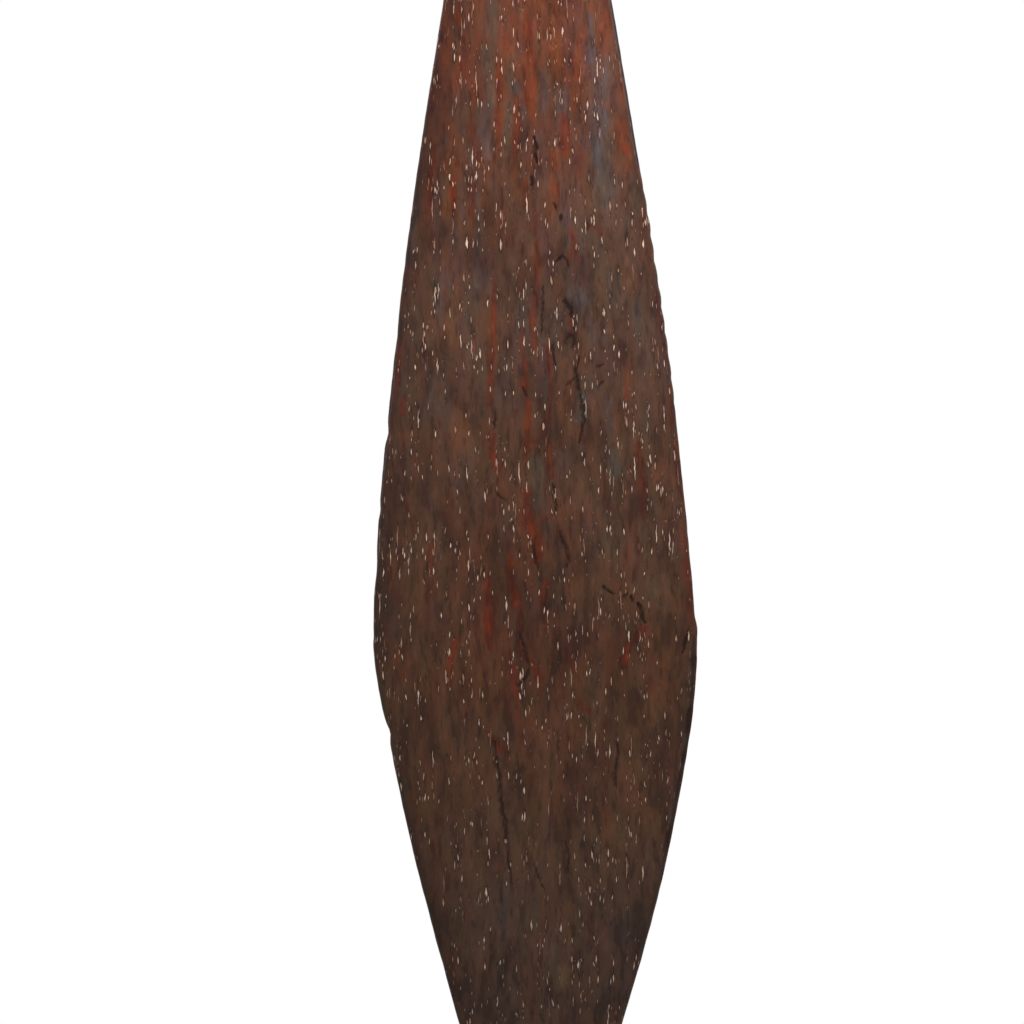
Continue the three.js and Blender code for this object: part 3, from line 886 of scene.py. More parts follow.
def squareUp(rough, form):
    # makes round sections the timber's own: two half widths, squareness, the flat back and its rib
    x, y, _ = rough.T
    halfWidth = (form["left"] + form["right"]) / 2
    outness = np.hypot(x / halfWidth, y / form["depth"])
    angle = np.arctan2(y / form["depth"], x / halfWidth)
    across = np.cos(angle)
    through = np.sin(angle)
    side = np.where(across < 0, form["left"], form["right"])
    exponent = np.where(through < 0, form["front"], form["back"])
    fullness = (1 - np.clip(np.abs(across), 0, 1) ** exponent) ** (1 / exponent)
    x = outness * side * across
    y = np.minimum(outness * form["depth"] * np.sign(through) * fullness, form["land"])
    rib = form["rib"] * bump(x, 0, blade["ribHalfWidth"])
    return x, y + rib * np.clip(y / form["land"], 0, 1), across, through


def wearEdges(x, y, z, across, isFront, form):
    # facets and a shoulder in the right edge, chips in the left one, the worn bevels in front, and a mask
    # of the bevels' painted shade and dirt
    toRight = across > 0
    still = z * 0
    waves = roughnessOf(np.stack([still, still, z], 1), *wear["waves"])
    rippleDepth, *rippleForm = wear["ripples"]
    ripples = roughness3d(np.stack([np.sign(across), still, z], 1), *rippleForm)
    facets = np.abs(np.sin(math.pi * z / wear["facetPitch"])) * within(z, *wear["facetSpan"])
    shoulder = smoothStep(z, *wear["shoulderStep"]) - 0.5
    shoulder = shoulder * bump(z, sum(wear["shoulderStep"]) / 2, wear["shoulderReach"])
    rightShift = wear["facetDepth"] * facets + wear["shoulderDepth"] * shoulder + wear["rightProud"]
    chips = sum(-deep * bump(z, height, long) for height, deep, long in wear["chips"])
    shift = np.where(toRight, rightShift, chips) + waves + rippleDepth * ripples
    atEdge = np.abs(across) ** wear["edgeExponent"] * np.clip(-z / wear["edgeFade"], 0, 1)
    x = x + np.sign(across) * shift * atEdge

    fromEdge = np.where(toRight, form["right"], form["left"]) - np.abs(x)
    bevels = {name: share * within(z, *span) for name, (share, *span) in wear["bevels"].items()}
    bevel = np.where(toRight, np.maximum(bevels["low"], bevels["high"]), bevels["left"])
    bevelWidth = wear["bevelWidth"] * (1 + wear["bevelRagged"] * ripples) * bevel + tiny
    cut = np.clip(1 - fromEdge / bevelWidth, 0, 1)
    sunk = wear["bevelSlope"] * bevelWidth * cut * np.clip(-y / wear["bevelDepth"], 0, 1)
    y = np.where(isFront, y + sunk, y)
    outerRim = np.where(z > wear["paleRimTop"], 1, smoothStep(fromEdge, 0, wear["paleRim"]))
    edgeMask = smoothStep(cut, *wear["bevelDark"]) * (bevelWidth > wear["paleRim"]) * outerRim
    return x, y, fromEdge, edgeMask


def crackShapes(points, faceX):
    # how deep the cracks and pits are at each point, and how dark, with ragged lips
    z = points[:, 2]
    deep = np.zeros(len(z))
    dark = np.zeros(len(z))
    darkFrom, darkTo = wear["crackDark"]
    ragged = roughnessOf(points, *wear["crackRagged"])
    jagged = faceX + roughnessOf(points, *wear["crackJagged"])
    for depth, path in cracks.values():
        inside = pathShape(jagged, z, path) + ragged
        deep = np.maximum(deep, depth * mm * smoothStep(inside, *wear["crackWall"]))
        dark = np.maximum(dark, np.clip((inside - darkFrom) / (darkTo - darkFrom), 0, 1))
    return deep, dark


def sinkEyes(points, hollowShade):
    # raises a lid round each eye's socket, presses the timber in it down to its floor, and paints shade
    # along the socket's wall
    well = eye["shellRadius"] + eye["gap"]
    shadeOut, shadeIn = eye["hollowShade"]
    for floor, outward in eyeFrames().values():
        offset = points - np.array(floor)
        direction = np.array(outward)
        lift = offset @ direction
        away = np.linalg.norm(offset - lift[:, None] * direction, axis=1)
        onThisFace = lift > -eye["backReach"]
        lid = carving["lidProud"] * bump(away, well + carving["lidGap"], carving["lidHalf"]) * onThisFace
        inWell = onThisFace & (away < well)
        moved = np.where(inWell, lid - lift, lid)
        points = points + moved[:, None] * direction
        hollowShade = np.maximum(hollowShade, onThisFace * smoothStep(away, well + shadeOut, well - shadeIn))
    return points, hollowShade


def rolledAcross(points):
    # how far across each point lies when the timber's skin is rolled flat
    x, y, z = points.T
    return np.sign(x) * (np.abs(x) + np.maximum(plainForm(z)["depth"] - np.abs(y), 0))


def faceMap(points):
    # the skin rolled flat, front and back apart: across, along, and 0
    z = points[:, 2]
    shift = np.where(points[:, 1] < 0, 0, timber["backShift"])
    return np.stack([rolledAcross(points) + shift, z, z * 0], 1)


def keepLayer(mesh, name, values):
    # one value or vector for each vertex, which the material reads
    kind, slot = ("FLOAT_VECTOR", "vector") if values.ndim == 2 else ("FLOAT", "value")
    layer = mesh.attributes.new(name, kind, "POINT")
    layer.data.foreach_set(slot, values.astype(np.float32).ravel())


def workBody(billet):
    # squares the sections, then adds the tool marks, wear, cracks and carving
    mesh = billet.data
    rough = triples(mesh.vertices, "co")
    z = rough[:, 2]
    form = plainForm(z)
    onBlade = z < 0
    onHead = z > shaft["length"] + butt["bandHeight"]
    x, y, across, through = squareUp(rough, form)
    isFront = (through < 0) & onBlade
    x, y, fromEdge, edgeMask = wearEdges(x, y, z, across, isFront, form)

    points = np.stack([x, y, z], 1)
    adze = sum(roughnessOf(points, *waves) for waves in wear["adze"])
    adze = adze * mix(*wear["adzeDepths"], smoothStep(z, *wear["adzeFade"])) * ~onHead
    points[:, 1] += adze * np.sign(through) * np.abs(through) ** 0.5
    crackDepth, crackMask = crackShapes(points, x)
    front = isFront & (np.abs(through) > wear["crackEnd"])
    points[:, 1] += crackDepth * front

    raised, sunk = carveHead(points)
    radial = points[:, :2] / np.maximum(np.hypot(points[:, 0], points[:, 1]), tiny)[:, None]
    points[:, :2] += radial * (raised * onHead)[:, None]
    # painted shade in the carving's grooves and mouth, along the neck band's rims and round the eye sockets
    hollowShade = np.where(onHead, np.clip(sunk, 0, 1), 0)
    bandShading, reach = wear["bandShade"]
    for rim in (shaft["length"], shaft["length"] + butt["bandHeight"]):
        hollowShade = np.maximum(hollowShade, bandShading * bump(z, rim, reach))
    points, hollowShade = sinkEyes(points, hollowShade)

    mesh.vertices.foreach_set("co", points.ravel())
    layers = {
        "faceMap": faceMap(points),
        "patchTint": np.where(isFront[:, None], patchTint(x, z, x + form["left"]), 1.0),
        "crackMask": crackMask * front,
        "streakMask": streakShape(x, z, redStreaks) * isFront,
        "greyMask": streakShape(x, z, greyStreaks) * isFront,
        "edgeMask": edgeMask * onBlade,
        "rimMask": onBlade * np.exp(-np.clip(fromEdge, 0, 1) / wear["rimReach"]),
        "grimeMask": hollowShade,
    }
    for name, values in layers.items():
        keepLayer(mesh, name, values)
    mesh.update()


# The map that a bake goes through: front and back halves cut into lengths, side by side

bakeMap = {
    "name": "OFBake",
    "side": 0.62,  # metres of timber across the whole map
    "cuts": (-0.311, 0.0, 0.279, 0.557, 0.835),  # heights at which the timber is cut into six lengths
    "rows": [  # the foot of each row, then which lengths lie in it and how wide their lanes are
        (0.003, [((0, 1), 0.142)]),
        (0.318, [((2, 3, 4), 0.068), ((5,), 0.095)]),
    ],
}


def layOutMap(billet):
    mesh = billet.data
    places = triples(mesh.vertices, "co")
    z = places[:, 2]
    unrolled = rolledAcross(places)
    feet = [blade["tip"] - 0.001, *bakeMap["cuts"]]
    lanes = {}
    for rowFoot, kinds in bakeMap["rows"]:
        column = 0.0
        for lengths, wide in kinds:
            for half in (-1, 1):
                for length in lengths:
                    lanes[half, length] = (column + wide / 2, rowFoot)
                    column += wide
    loops = np.empty(len(mesh.loops), int)
    mesh.loops.foreach_get("vertex_index", loops)
    layer = mesh.uv_layers.new(name=bakeMap["name"])
    uv = np.zeros((len(loops), 2))
    for face in mesh.polygons:
        length = int(np.clip(np.searchsorted(feet, face.center.z) - 1, 0, 5))
        laneX, laneY = lanes[-1 if face.center.y < 0 else 1, length]
        corners = slice(face.loop_start, face.loop_start + face.loop_total)
        own = loops[corners]
        uv[corners, 0] = laneX + unrolled[own]
        uv[corners, 1] = laneY + z[own] - feet[length]
    layer.data.foreach_set("uv", (uv / bakeMap["side"]).ravel())


# Timber: old hand-rubbed hardwood with pale filled pores

timber = {
    "backShift": 0.5,  # so that the back's pores differ from the front's
    "tones": [  # from the tip up to the butt, as shares of the whole length
        (0.0, tone(48, 34, 27)),
        (0.075, tone(60, 40, 29)),
        (0.11, tone(67, 43, 28)),
        (0.15, tone(71, 43, 27)),
        (0.2, tone(78, 50, 35)),
        (0.235, tone(84, 55, 41)),
        (0.27, tone(92, 60, 45)),
        (0.295, tone(102, 61, 44)),
        (0.31, tone(113, 64, 43)),
        (0.42, tone(112, 63, 41)),
        (0.7, tone(92, 52, 33)),
        (1.0, tone(74, 42, 26)),
    ],
    "tints": {  # how each kind of patch changes the tone, and how much of it there is at tip and throat
        "grey": ((0.86, 1.22, 1.6, 1.0), 0.3, 0.65),
        "orange": ((1.2, 0.92, 0.62, 1.0), 0.1, 0.8),
        "red": ((1.1, 0.76, 0.7, 1.0), 0.4, 0.3),
        "olive": ((0.88, 1.14, 0.95, 1.0), 0.45, 0.2),
        "mauve": ((0.97, 0.98, 1.35, 1.0), 0.35, 0.5),
    },
    "patches": (0.0065, 0.026, 4.0, 0.6),  # size across and along the grain, detail and roughness
    "wanderPitch": (45.0, 45.0, 14.0),  # how the grain wanders: turns to a metre, and how far
    "wanderReach": (0.005, 0.005, 0.0),
    "noises": {  # size across and along the grain, detail, seed and roughness
        "clouds": (0.016, 0.028, 4.0, 12.0, 0.6),
        "dabs": (0.0036, 0.0115, 2.0, 14.0, 0.5),
        "smudge": (0.0019, 0.0075, 2.0, 15.0, 0.5),
        "fine": (0.0034, 0.024, 2.0, 2.0, 0.45),
        "finer": (0.0026, 0.011, 1.5, 5.0, 0.45),
        "seam": (0.0022, 0.011, 2.0, 3.0, 0.6),
        "fibre": (0.00028, 0.004, 3.0, 4.0, 0.7),
        "slant": (0.002, 0.0035, 1.0, 6.0, 0.5),
        "rows": (0.0019, 0.03, 2.0, 7.0, 0.5),
        "crowds": (0.010, 0.017, 2.0, 16.0, 0.5),
        "broken": (0.0005, 0.0018, 2.0, 9.0, 0.6),
        "torn": (0.001, 0.0022, 3.0, 8.0, 0.6),
    },
    "spans": {  # the values between which an effect sets in, on its noise, its mask or the height
        "upwards": (0.1, 0.32),
        "patch": (0.5, 0.6),
        "redFades": (0.24, 0.32),
        "core": (0.7, 1.7),
        "coreGrain": (0.42, 0.58),
        "seam": (0.57, 0.7),
        "fibreLight": (0.52, 0.75),
        "fibreDark": (0.48, 0.25),
        "rows": (0.46, 0.56),
        "crowds": (0.4, 0.6),
        "broken": (0.42, 0.62),
        "fillBright": (0.25, 0.95),
        "fillWarm": (0.22, 0.33),
        "stain": (0.05, 0.75),
        "crack": (0.62, 1.05),
        "edge": (0.1, 0.6),
    },
    "shade": [  # a noise, the values between which it sets in, and its share
        ("clouds", 0.48, 0.64, 0.7),
        ("dabs", 0.5, 0.7, 0.8),
        ("smudge", 0.57, 0.72, 0.9),
    ],
    "shadeLess": 0.25,  # on the upper blade
    "shadeRim": 0.2,
    "shine": [
        ("dabs", 0.5, 0.3, 0.42),
        ("clouds", 0.48, 0.3, 0.55),
        ("smudge", 0.42, 0.3, 0.65),
    ],
    "red": {  # what each mask and noise adds to a streak's tint, what is taken off, and where it sets in
        "streak": 0.42, "rim": 0.06, "upwards": 0.04, "less": 0.11, "span": (0.54, 0.78), "fades": 0.6,
    },
    "orange": {
        "streak": 0.12, "upwards": 0.09, "finer": 0.6, "fine": 0.4, "less": 0.08, "span": (0.54, 0.78),
    },
    "grey": {"streak": 1.3, "red": 0.3},
    "fibre": (0.14, 0.07),  # its share at the tip, and what the upper blade has less
    "crowding": (1.3, 0.28),  # of the pores: what a crowd adds, and the least
    "shares": {  # how strong each effect is
        "seam": 0.7,
        "poreRimAndShadow": 0.75,
        "stain": 0.75,
        "crack": 0.7,
        "edge": 0.9,
        "hollowShade": 0.75,
    },
    "seamByStreak": 0.06,
    "frayed": {"stain": 2.0, "crack": 1.5, "edge": 0.5},  # how far noise tears each lip
    "paleness": {  # of the dust: at the tip, what is added up the blade, and what is taken off on the butt
        "tip": 0.41,
        "lower": (0.2, 0.06, 0.2),
        "upper": 0.42,
        "butt": (0.4, 0.92, 0.96),
    },
    "relief": {"fibre": 0.3, "fine": 0.3, "smudge": 0.4, "seam": 0.4, "pore": 0.5, "crack": 0.5},
    "bump": (0.6, 0.0005),  # strength and height
    "darkTint": (0.55, 0.52, 0.54, 1.0),
    "greyTint": (0.86, 1.3, 1.65, 1.0),
    "redTint": (1.2, 0.69, 0.58, 1.0),
    "orangeTint": (1.22, 1.06, 0.8, 1.0),
    "coreTint": (1.3, 1.12, 0.68, 1.0),
    "lightTint": (1.45, 1.42, 1.4, 1.0),
    "dark": tone(38, 26, 22),
    "edge": tone(42, 28, 25),
    "fleck": tone(242, 212, 188),
    "dimFleck": tone(162, 123, 101),
    "warmTint": (1.08, 0.92, 0.92, 1.0),
    "pores": [  # cell across and along the grain, reach into the cell, share of cells with a pore
        (0.0027, 0.0140, 0.14, 0.95),
        (0.0013, 0.0260, 0.175, 0.42),
        (0.0013, 0.0080, 0.185, 0.8),
    ],
    "pore": {
        "scatter": 0.95,
        "exponent": 1.2,  # makes it pointed along the grain
        "sizes": (0.95, 0.42),  # what chance adds, and the least
        "growsUp": 0.07,
        "soft": 0.5,
        "broken": 0.6,
        "rim": (1.9, 0.9),  # how much wider than the fill, and how soft
    },
    "poreWander": (0.004, 0.0, 0.0),
    "poreSlant": 0.0012,
    "roughness": 0.5,
    "crackRougher": 0.3,
    "cloudSmoother": 0.15,
    "specular": 0.12,
}


def makeTimber():
    material, tree, shader, place = newMaterial("oldTimber")
    spans = timber["spans"]
    wander = place.times(timber["wanderPitch"]).cloud(out="Color").plus((-0.5, -0.5, -0.5))
    wavy = place.plus(wander.times(timber["wanderReach"]))

    def mask(name, out="Fac"):
        return place.node("ShaderNodeAttribute", {"attribute_name": name}, None, out)

    def along(acrossSize, alongSize, detail, seed, rough):
        # noise drawn out along the grain
        scaled = wavy.plus((seed, seed, seed)).times((1 / acrossSize, 1 / acrossSize, 1 / alongSize))
        return scaled.cloud(detail, rough)

    grain = {name: along(*size) for name, size in timber["noises"].items()}

    def stacked(steps):
        # several noises stepped, weighed and added up
        first, *others = [grain[name].step(low, high) * share for name, low, high, share in steps]
        return sum(others, first)

    height = (place.part("Z") - cadBox[0][2]) / (cadBox[1][2] - cadBox[0][2])
    colour = height.node("ShaderNodeValToRGB", {"stops": timber["tones"]}, {"Fac": height}, "Color")
    upwards = height.step(*spans["upwards"])
    rim = mask("rimMask")

    # soft patches along the grain: bleached grey, rubbed orange, red, olive and mauve
    acrossSize, alongSize, detail, rough = timber["patches"]
    for number, (tint, atTip, atThroat) in enumerate(timber["tints"].values()):
        patch = along(acrossSize, alongSize, detail, 3.7 * number + 1, rough).step(*spans["patch"])
        strength = upwards * (atThroat - atTip) + atTip
        colour = colour.tinted(tint, patch * strength)
    shade = stacked(timber["shade"]) * (1 - upwards * timber["shadeLess"])
    shade = (shade + rim * timber["shadeRim"]).clamp()
    colour = colour.tinted(timber["darkTint"], shade)
    colour = colour.tinted(timber["lightTint"], stacked(timber["shine"]))
    colour = colour.tinted(mask("patchTint", "Vector"), 1.0)

    # red, orange and grey streaks, ragged along the grain
    fine = grain["fine"]
    finer = grain["finer"]
    streak = mask("streakMask")
    red = timber["red"]
    redShare = streak * red["streak"] + rim * red["rim"] + upwards * red["upwards"] + fine - red["less"]
    redShare = redShare.step(*red["span"])
    redTone = redShare * (1 - height.step(*spans["redFades"]) * red["fades"])
    colour = colour.tinted(timber["redTint"], redTone)
    orange = timber["orange"]
    orangeShare = streak * orange["streak"] + upwards * orange["upwards"] + finer * orange["finer"]
    orangeShare = (orangeShare + fine * orange["fine"] - orange["less"]).step(*orange["span"])
    colour = colour.tinted(timber["orangeTint"], orangeShare)
    coreShare = streak.step(*spans["core"]) * finer.step(*spans["coreGrain"])
    colour = colour.tinted(timber["coreTint"], coreShare)
    grey = timber["grey"]
    greyShare = (mask("greyMask") * grey["streak"] - redShare * grey["red"]).clamp()
    colour = colour.tinted(timber["greyTint"], greyShare)

    # dark seams and the fibre
    shares = timber["shares"]
    seam = (grain["seam"] + streak * timber["seamByStreak"]).step(*spans["seam"])
    colour = colour.tinted(timber["darkTint"], seam * shares["seam"])
    fibre = grain["fibre"]
    atTip, lessAbove = timber["fibre"]
    fibreShare = atTip - upwards * lessAbove
    colour = colour.tinted(timber["lightTint"], fibre.step(*spans["fibreLight"]) * fibreShare)
    colour = colour.tinted(timber["darkTint"], fibre.step(*spans["fibreDark"]) * fibreShare)

    # pores filled with pale dust, in rows along the grain, each in a dark rim that is partly the pore's own
    # dark wall and partly painted shadow
    slant = grain["slant"] - 0.5
    skin = mask("faceMap", "Vector").plus(wander.times(timber["poreWander"]))
    skin = skin.plus(slant.node("ShaderNodeCombineXYZ", None, {0: slant * timber["poreSlant"]}))
    crowds = grain["crowds"].step(*spans["crowds"])
    added, least = timber["crowding"]
    crowded = grain["rows"].step(*spans["rows"]) * (crowds * added + least)
    broken = grain["broken"].step(*spans["broken"])

    pore = timber["pore"]
    sizeAdded, sizeLeast = pore["sizes"]
    rimWider, rimSoft = pore["rim"]

    def pores(acrossSize, alongSize, reach, common):
        # one pore to a cell: its pale fill, its dark rim with painted shadow, and how bright the fill is
        scaled = skin.times((1 / acrossSize, 1 / alongSize, 0.0))
        cells = {"feature": "F1", "voronoi_dimensions": "2D", "distance": "MINKOWSKI"}
        values = {"Vector": scaled, "Scale": 1.0}
        values.update({"Randomness": pore["scatter"], "Exponent": pore["exponent"]})
        distance = scaled.node("ShaderNodeTexVoronoi", cells, values, "Distance")
        chance = scaled.node("ShaderNodeSeparateColor", None, {0: distance.other("Color")})
        present = (chance + crowded * common).step(1.0, 1.03)
        size = present * (chance.other(1) * sizeAdded + sizeLeast)
        size = size * (upwards * pore["growsUp"] + 1.0) * reach
        fill = ((size - distance) / (pore["soft"] * reach) - broken * pore["broken"]).clamp()
        rimAndShadow = ((size * rimWider - distance) / (rimSoft * reach)).clamp()
        return fill, rimAndShadow, chance.other(2).step(*spans["fillBright"])

    pale = timber["paleness"]
    lowerShare, *lowerSpan = pale["lower"]
    buttShare, *buttSpan = pale["butt"]
    paleness = upwards * pale["upper"] + height.step(*lowerSpan) * lowerShare + pale["tip"]
    paleness = paleness - height.step(*buttSpan) * buttShare
    depth = timber["relief"]
    relief = fibre * depth["fibre"] + fine * depth["fine"] + grain["smudge"] * depth["smudge"]
    relief = relief - seam * depth["seam"]
    for layer in timber["pores"]:
        fill, rimAndShadow, bright = pores(*layer)
        colour = colour.tinted(timber["darkTint"], rimAndShadow * shares["poreRimAndShadow"])
        dust = bright.blend(timber["dimFleck"], timber["fleck"])
        dust = dust.tinted(timber["warmTint"], height.step(*spans["fillWarm"]))
        colour = colour.towards(dust, fill * paleness)
        relief = relief - rimAndShadow * depth["pore"]

    # cracks, the bevels' painted shade and dirt, and painted shade in the carving's hollows
    crackMask = mask("crackMask")
    torn = grain["torn"] - 0.5
    frayed = timber["frayed"]
    stain = (crackMask + torn * frayed["stain"]).step(*spans["stain"])
    colour = colour.tinted(timber["darkTint"], stain * shares["stain"])
    crack = (crackMask + torn * frayed["crack"]).step(*spans["crack"])
    colour = colour.towards(timber["dark"], crack * shares["crack"])
    # painted shade on the bevels that turn away from the light, with dirt in them
    edge = (mask("edgeMask") + torn * frayed["edge"]).step(*spans["edge"])
    colour = colour.towards(timber["edge"], edge * shares["edge"])
    # painted shade in the carving's hollows, along the neck band and round the eye sockets
    colour = colour.towards(timber["dark"], mask("grimeMask") * shares["hollowShade"])

    relief = relief - crack * depth["crack"]
    roughness = timber["roughness"] + crack * timber["crackRougher"]
    roughness = roughness - grain["clouds"] * timber["cloudSmoother"]
    plug(tree, shader, {
        "Base Color": colour,
        "Roughness": roughness,
        "Normal": relief.asNormal(*timber["bump"]),
        "Specular IOR Level": timber["specular"],
    })
    return material


# Shell: layered blue-green mother of pearl

shell = {
    "tones": [
        (0.25, tone(18, 40, 60)),
        (0.4, tone(28, 110, 112)),
        (0.5, tone(90, 170, 130)),
        (0.58, tone(70, 110, 170)),
        (0.66, tone(170, 110, 160)),
        (0.78, tone(200, 220, 190)),
    ],
    "line": tone(12, 22, 26),
    "sheen": tone(120, 90, 190),
    "bendPitch": 160.0,  # the layers' bends, turns to a metre, and how far they go
    "bendReach": 0.006,
    "layerPitch": (260.0, 260.0, 420.0),
    "linePitch": (900.0, 900.0, 1500.0),
    "lineSpan": (0.62, 0.7),
    "lineShare": 0.7,
    "lineRougher": 0.3,
    "sheenShare": 0.35,
    "sheenFrom": 0.4,  # how far from a glancing view it begins
    "roughness": 0.16,
    "metallic": 0.35,
    "coat": 0.5,
    "bump": (0.2, 0.0002),
}


def makeShell():
    material, tree, shader, place = newMaterial("pauaShell")
    bends = place.times([shell["bendPitch"]] * 3).cloud(out="Color")
    bent = place.plus(bends.times([shell["bendReach"]] * 3))
    layers = bent.times(shell["layerPitch"]).cloud(4.0, 0.6)
    colour = layers.node("ShaderNodeValToRGB", {"stops": shell["tones"]}, {"Fac": layers}, "Color")
    lines = bent.times(shell["linePitch"]).cloud(3.0).step(*shell["lineSpan"])
    colour = colour.towards(shell["line"], lines * shell["lineShare"])
    facing = layers.node("ShaderNodeLayerWeight", None, {"Blend": shell["sheenFrom"]}, "Facing")
    plug(tree, shader, {
        "Base Color": colour.towards(shell["sheen"], facing * shell["sheenShare"]),
        "Roughness": shell["roughness"] + lines * shell["lineRougher"],
        "Metallic": shell["metallic"],
        "Normal": layers.asNormal(*shell["bump"]),
        "Coat Weight": shell["coat"],
    })
    return material


peg = {
    "tones": [(0.3, tone(18, 11, 9)), (0.7, tone(50, 31, 22))],
    "ringPitch": (500.0, 500.0, 1400.0),
    "roughness": 0.32,
    "ringRougher": 0.2,
    "specular": 0.25,
    "bump": (0.25, 0.0001),
}


def makePegTimber():
    material, tree, shader, place = newMaterial("pegTimber")
    rings = place.times(peg["ringPitch"]).cloud(3.0, 0.6)
    plug(tree, shader, {
        "Base Color": rings.node("ShaderNodeValToRGB", {"stops": peg["tones"]}, {"Fac": rings}, "Color"),
        "Roughness": peg["roughness"] + rings * peg["ringRougher"],
        "Normal": rings.asNormal(*peg["bump"]),
        "Specular IOR Level": peg["specular"],
    })
    return material


# The eyes

def turnOut(piece, floor, outward):
    # stands a piece that was made on +Z in its socket, and leaves its object at the origin
    turned = Vector((0, 0, 1)).rotation_difference(outward).to_matrix().to_4x4()
    piece.data.transform(Matrix.Translation(floor) @ turned)
    piece.data.update()


def addRod(name, sides, radius, length, top):
    # a cylinder below a height, and how far up each of its faces looks
    deselectAll()
    middle = (0, 0, top - length / 2)
    bpy.ops.mesh.primitive_cylinder_add(vertices=sides, radius=radius, depth=length, location=middle)
    rod = bpy.context.object
    rod.name = name
    bpy.ops.object.transform_apply(location=True, rotation=True, scale=True)
    return rod, triples(rod.data.polygons, "normal")[:, 2]


def makeRing(name):
    top = eye["gap"] + eye["shellThickness"]
    ring, upness = addRod(name, eye["facets"], eye["shellRadius"], eye["shellThickness"], top)
    selectFaces(ring, np.abs(upness) > level)
    bpy.ops.mesh.inset(thickness=eye["shellRadius"] - eye["shellHole"], use_individual=True)
    bpy.ops.mesh.bridge_edge_loops()
    faceOutwards()
    soften = ring.modifiers.new("soften", "BEVEL")
    soften.width = eye["bevel"]
    soften.segments = 3
    soften.limit_method = "ANGLE"
    bpy.ops.object.modifier_apply(modifier=soften.name)
    bpy.ops.object.shade_smooth_by_angle(angle=eye["smoothUnder"])
    return ring


def makePeg(name):
    seat = 2 * eye["gap"] + eye["shellThickness"]
    pin, upness = addRod(name, eye["facets"] // 2, eye["pegShank"], eye["pegShankLength"], seat)
    selectFaces(pin, upness > level)
    wider = eye["pegHead"] / eye["pegShank"]
    extrudeTo(seat, 0, wider, wider)
    lifts = [math.radians(angle) for angle in eye["pegDome"]]
    for low, high in zip(lifts, lifts[1:]):
        rise = eye["pegHeadHeight"] * (math.sin(high) - math.sin(low))
        narrower = math.cos(high) / math.cos(low)
        extrudeTo(seat + eye["pegHeadHeight"] * math.sin(high), rise, narrower, narrower)
    faceOutwards()
    bpy.ops.object.shade_smooth_by_angle(angle=eye["smoothUnder"])
    return pin


# Assembly

timberMaterial = makeTimber()
shellMaterial = makeShell()
pegMaterial = makePegTimber()

deselectAll()
billet = blockOutBody()
print("blocked out:", len(billet.data.polygons), "faces")
refineWhere(billet, nearMarks, 1)
refineWhere(billet, lambda x, z: nearCracks(x, z, body["finestMargin"]), 2)
workBody(billet)
pick(billet)
bpy.ops.object.mode_set(mode="EDIT")
faceOutwards()
bpy.ops.object.shade_smooth()
layOutMap(billet)
billet.data.materials.clear()
billet.data.materials.append(timberMaterial)
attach(billet, "root")
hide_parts("paddle")
print("timber worked:", len(billet.data.polygons), "faces")

for name, (floor, outward) in eyeFrames().items():
    made = (
        (makeRing(f"{name}_shell_ring"), shellMaterial, f"{name}_eye_shell", "paua_shell"),
        (makePeg(f"{name}_pupil_peg"), pegMaterial, f"{name}_eye_peg", "peg_timber"),
    )
    for piece, material, node, slot in made:
        turnOut(piece, floor, outward)
        piece.data.materials.append(material)
        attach(piece, "root")
        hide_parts(node)
print("eyes set")


# Floor, light and camera

studio = {
    "floorRadius": 0.9,
    "floorGap": 0.0005,
    "floorSides": 96,
    "floorTone": (0.86, 0.86, 0.86, 1.0),
    "floorRoughness": 0.9,
    "ambient": 0.42,
    "glowSpan": (0.35, 0.95),  # shares of its radius over which the floor turns into the white beyond
    "cameraDistance": 2.6,
    "sensor": 36.0,
    "lamps": {  # place, size and power; all aim at the throat
        "key": ((1.0, -2.3, 0.9), 1.2, 36),
        "fill": ((-1.6, -1.7, 0.2), 1.6, 10),
        "rim": ((-0.6, 2.2, 0.9), 1.4, 26),
    },
}

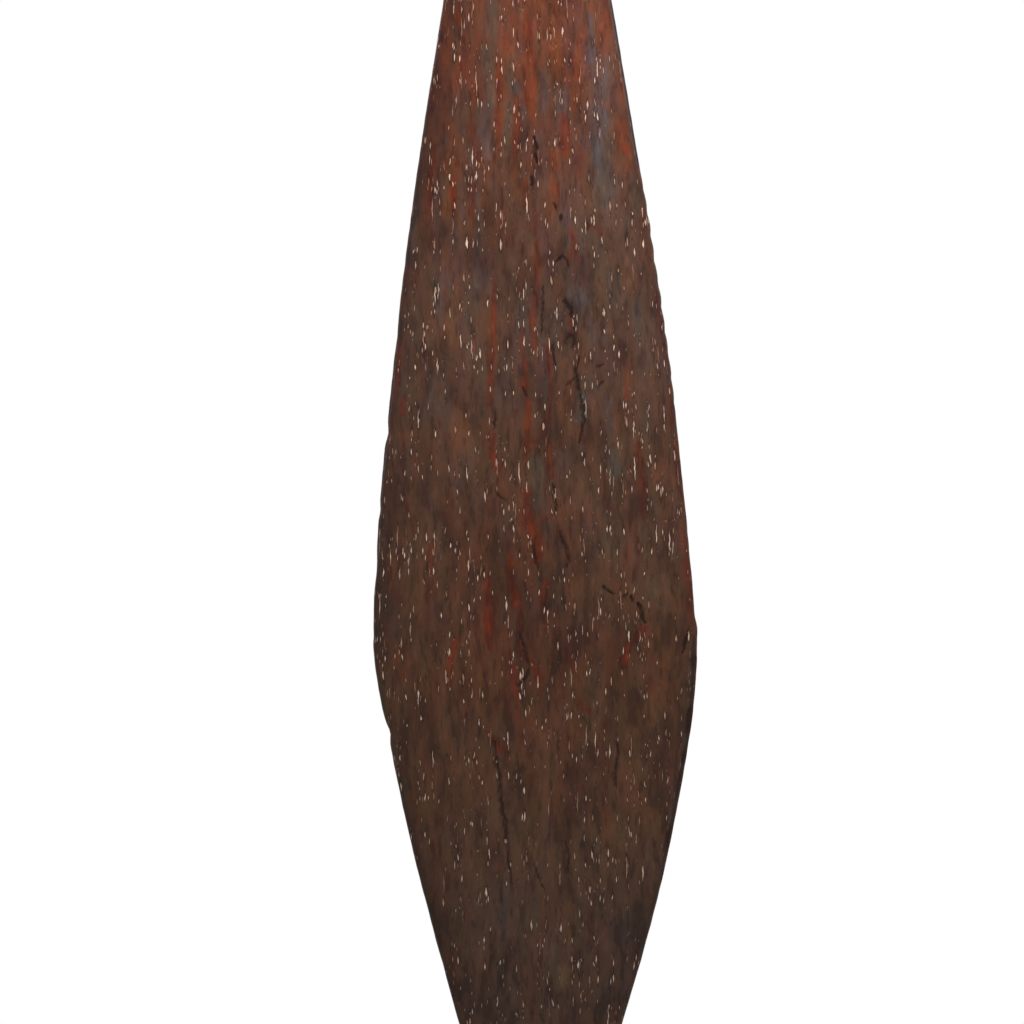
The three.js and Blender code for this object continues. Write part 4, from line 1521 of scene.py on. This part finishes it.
deselectAll()
bpy.ops.mesh.primitive_circle_add(
    vertices=studio["floorSides"], radius=studio["floorRadius"], fill_type="NGON",
    location=(0, 0, blade["tip"] - studio["floorGap"]),
)
floor = bpy.context.object
floor.name = "studio_floor"
floorMaterial, floorTree, floorShader, floorPlace = newMaterial("paleFloor")
plug(floorTree, floorShader, {"Base Color": studio["floorTone"], "Roughness": studio["floorRoughness"]})
flat = floorPlace.times((1.0, 1.0, 0.0))
fromMiddle = flat.node("ShaderNodeVectorMath", {"operation": "LENGTH"}, {0: flat}, "Value")
path = floorTree.nodes.new("ShaderNodeLightPath")
seenByCamera = Wire(floorTree, path.outputs["Is Camera Ray"])
glow = fromMiddle.node("ShaderNodeEmission", None, {"Color": (1, 1, 1, 1), "Strength": 1.0})
glowFrom, glowTo = (share * studio["floorRadius"] for share in studio["glowSpan"])
fade = fromMiddle.step(glowFrom, glowTo) * seenByCamera
shaded = Wire(floorTree, floorShader.outputs[0])
blended = fade.node("ShaderNodeMixShader", None, {0: fade, 1: shaded, 2: glow})
floorTree.links.new(blended.socket, floorTree.nodes["Material Output"].inputs["Surface"])
floor.data.materials.append(floorMaterial)

world = bpy.data.worlds.new("studio")
bpy.context.scene.world = world
world.use_nodes = True
worldTree = world.node_tree
background = worldTree.nodes["Background"]
rays = worldTree.nodes.new("ShaderNodeLightPath")
seen = Wire(worldTree, rays.outputs["Is Camera Ray"])
mirrored = Wire(worldTree, rays.outputs["Is Glossy Ray"])
through = Wire(worldTree, rays.outputs["Is Transmission Ray"])
whiteShare = seen.maths("MAXIMUM", seen, seen.maths("MAXIMUM", mirrored, through))
strength = studio["ambient"] + whiteShare * (1 - studio["ambient"])
background.inputs["Color"].default_value = (1, 1, 1, 1)
worldTree.links.new(strength.socket, background.inputs["Strength"])

for name, (place, size, power) in studio["lamps"].items():
    data = bpy.data.lights.new(name, "AREA")
    data.shape = "DISK"
    data.size = size
    data.energy = power
    lamp = bpy.data.objects.new(name, data)
    bpy.context.scene.collection.objects.link(lamp)
    lamp.location = place
    lamp.rotation_euler = (-Vector(place)).to_track_quat("-Z", "Y").to_euler()
    lamp.visible_camera = False

half = photo["pixels"] / 2
aimX, aimZ = onFace(half, half)
cameraData = bpy.data.cameras.new("camera")
cameraData.sensor_width = studio["sensor"]
cameraData.lens = studio["sensor"] * studio["cameraDistance"] / (photo["pixels"] * photo["scale"])
cameraData.clip_end = 100
camera = bpy.data.objects.new("camera", cameraData)
bpy.context.scene.collection.objects.link(camera)
camera.location = (aimX, -studio["cameraDistance"] - blade["thickness"] / 2, aimZ)
camera.rotation_euler = (math.pi / 2, math.atan(photo["axisDrift"]), 0)
bpy.context.scene.camera = camera
bpy.context.scene.view_settings.view_transform = "Standard"

print("stage set")
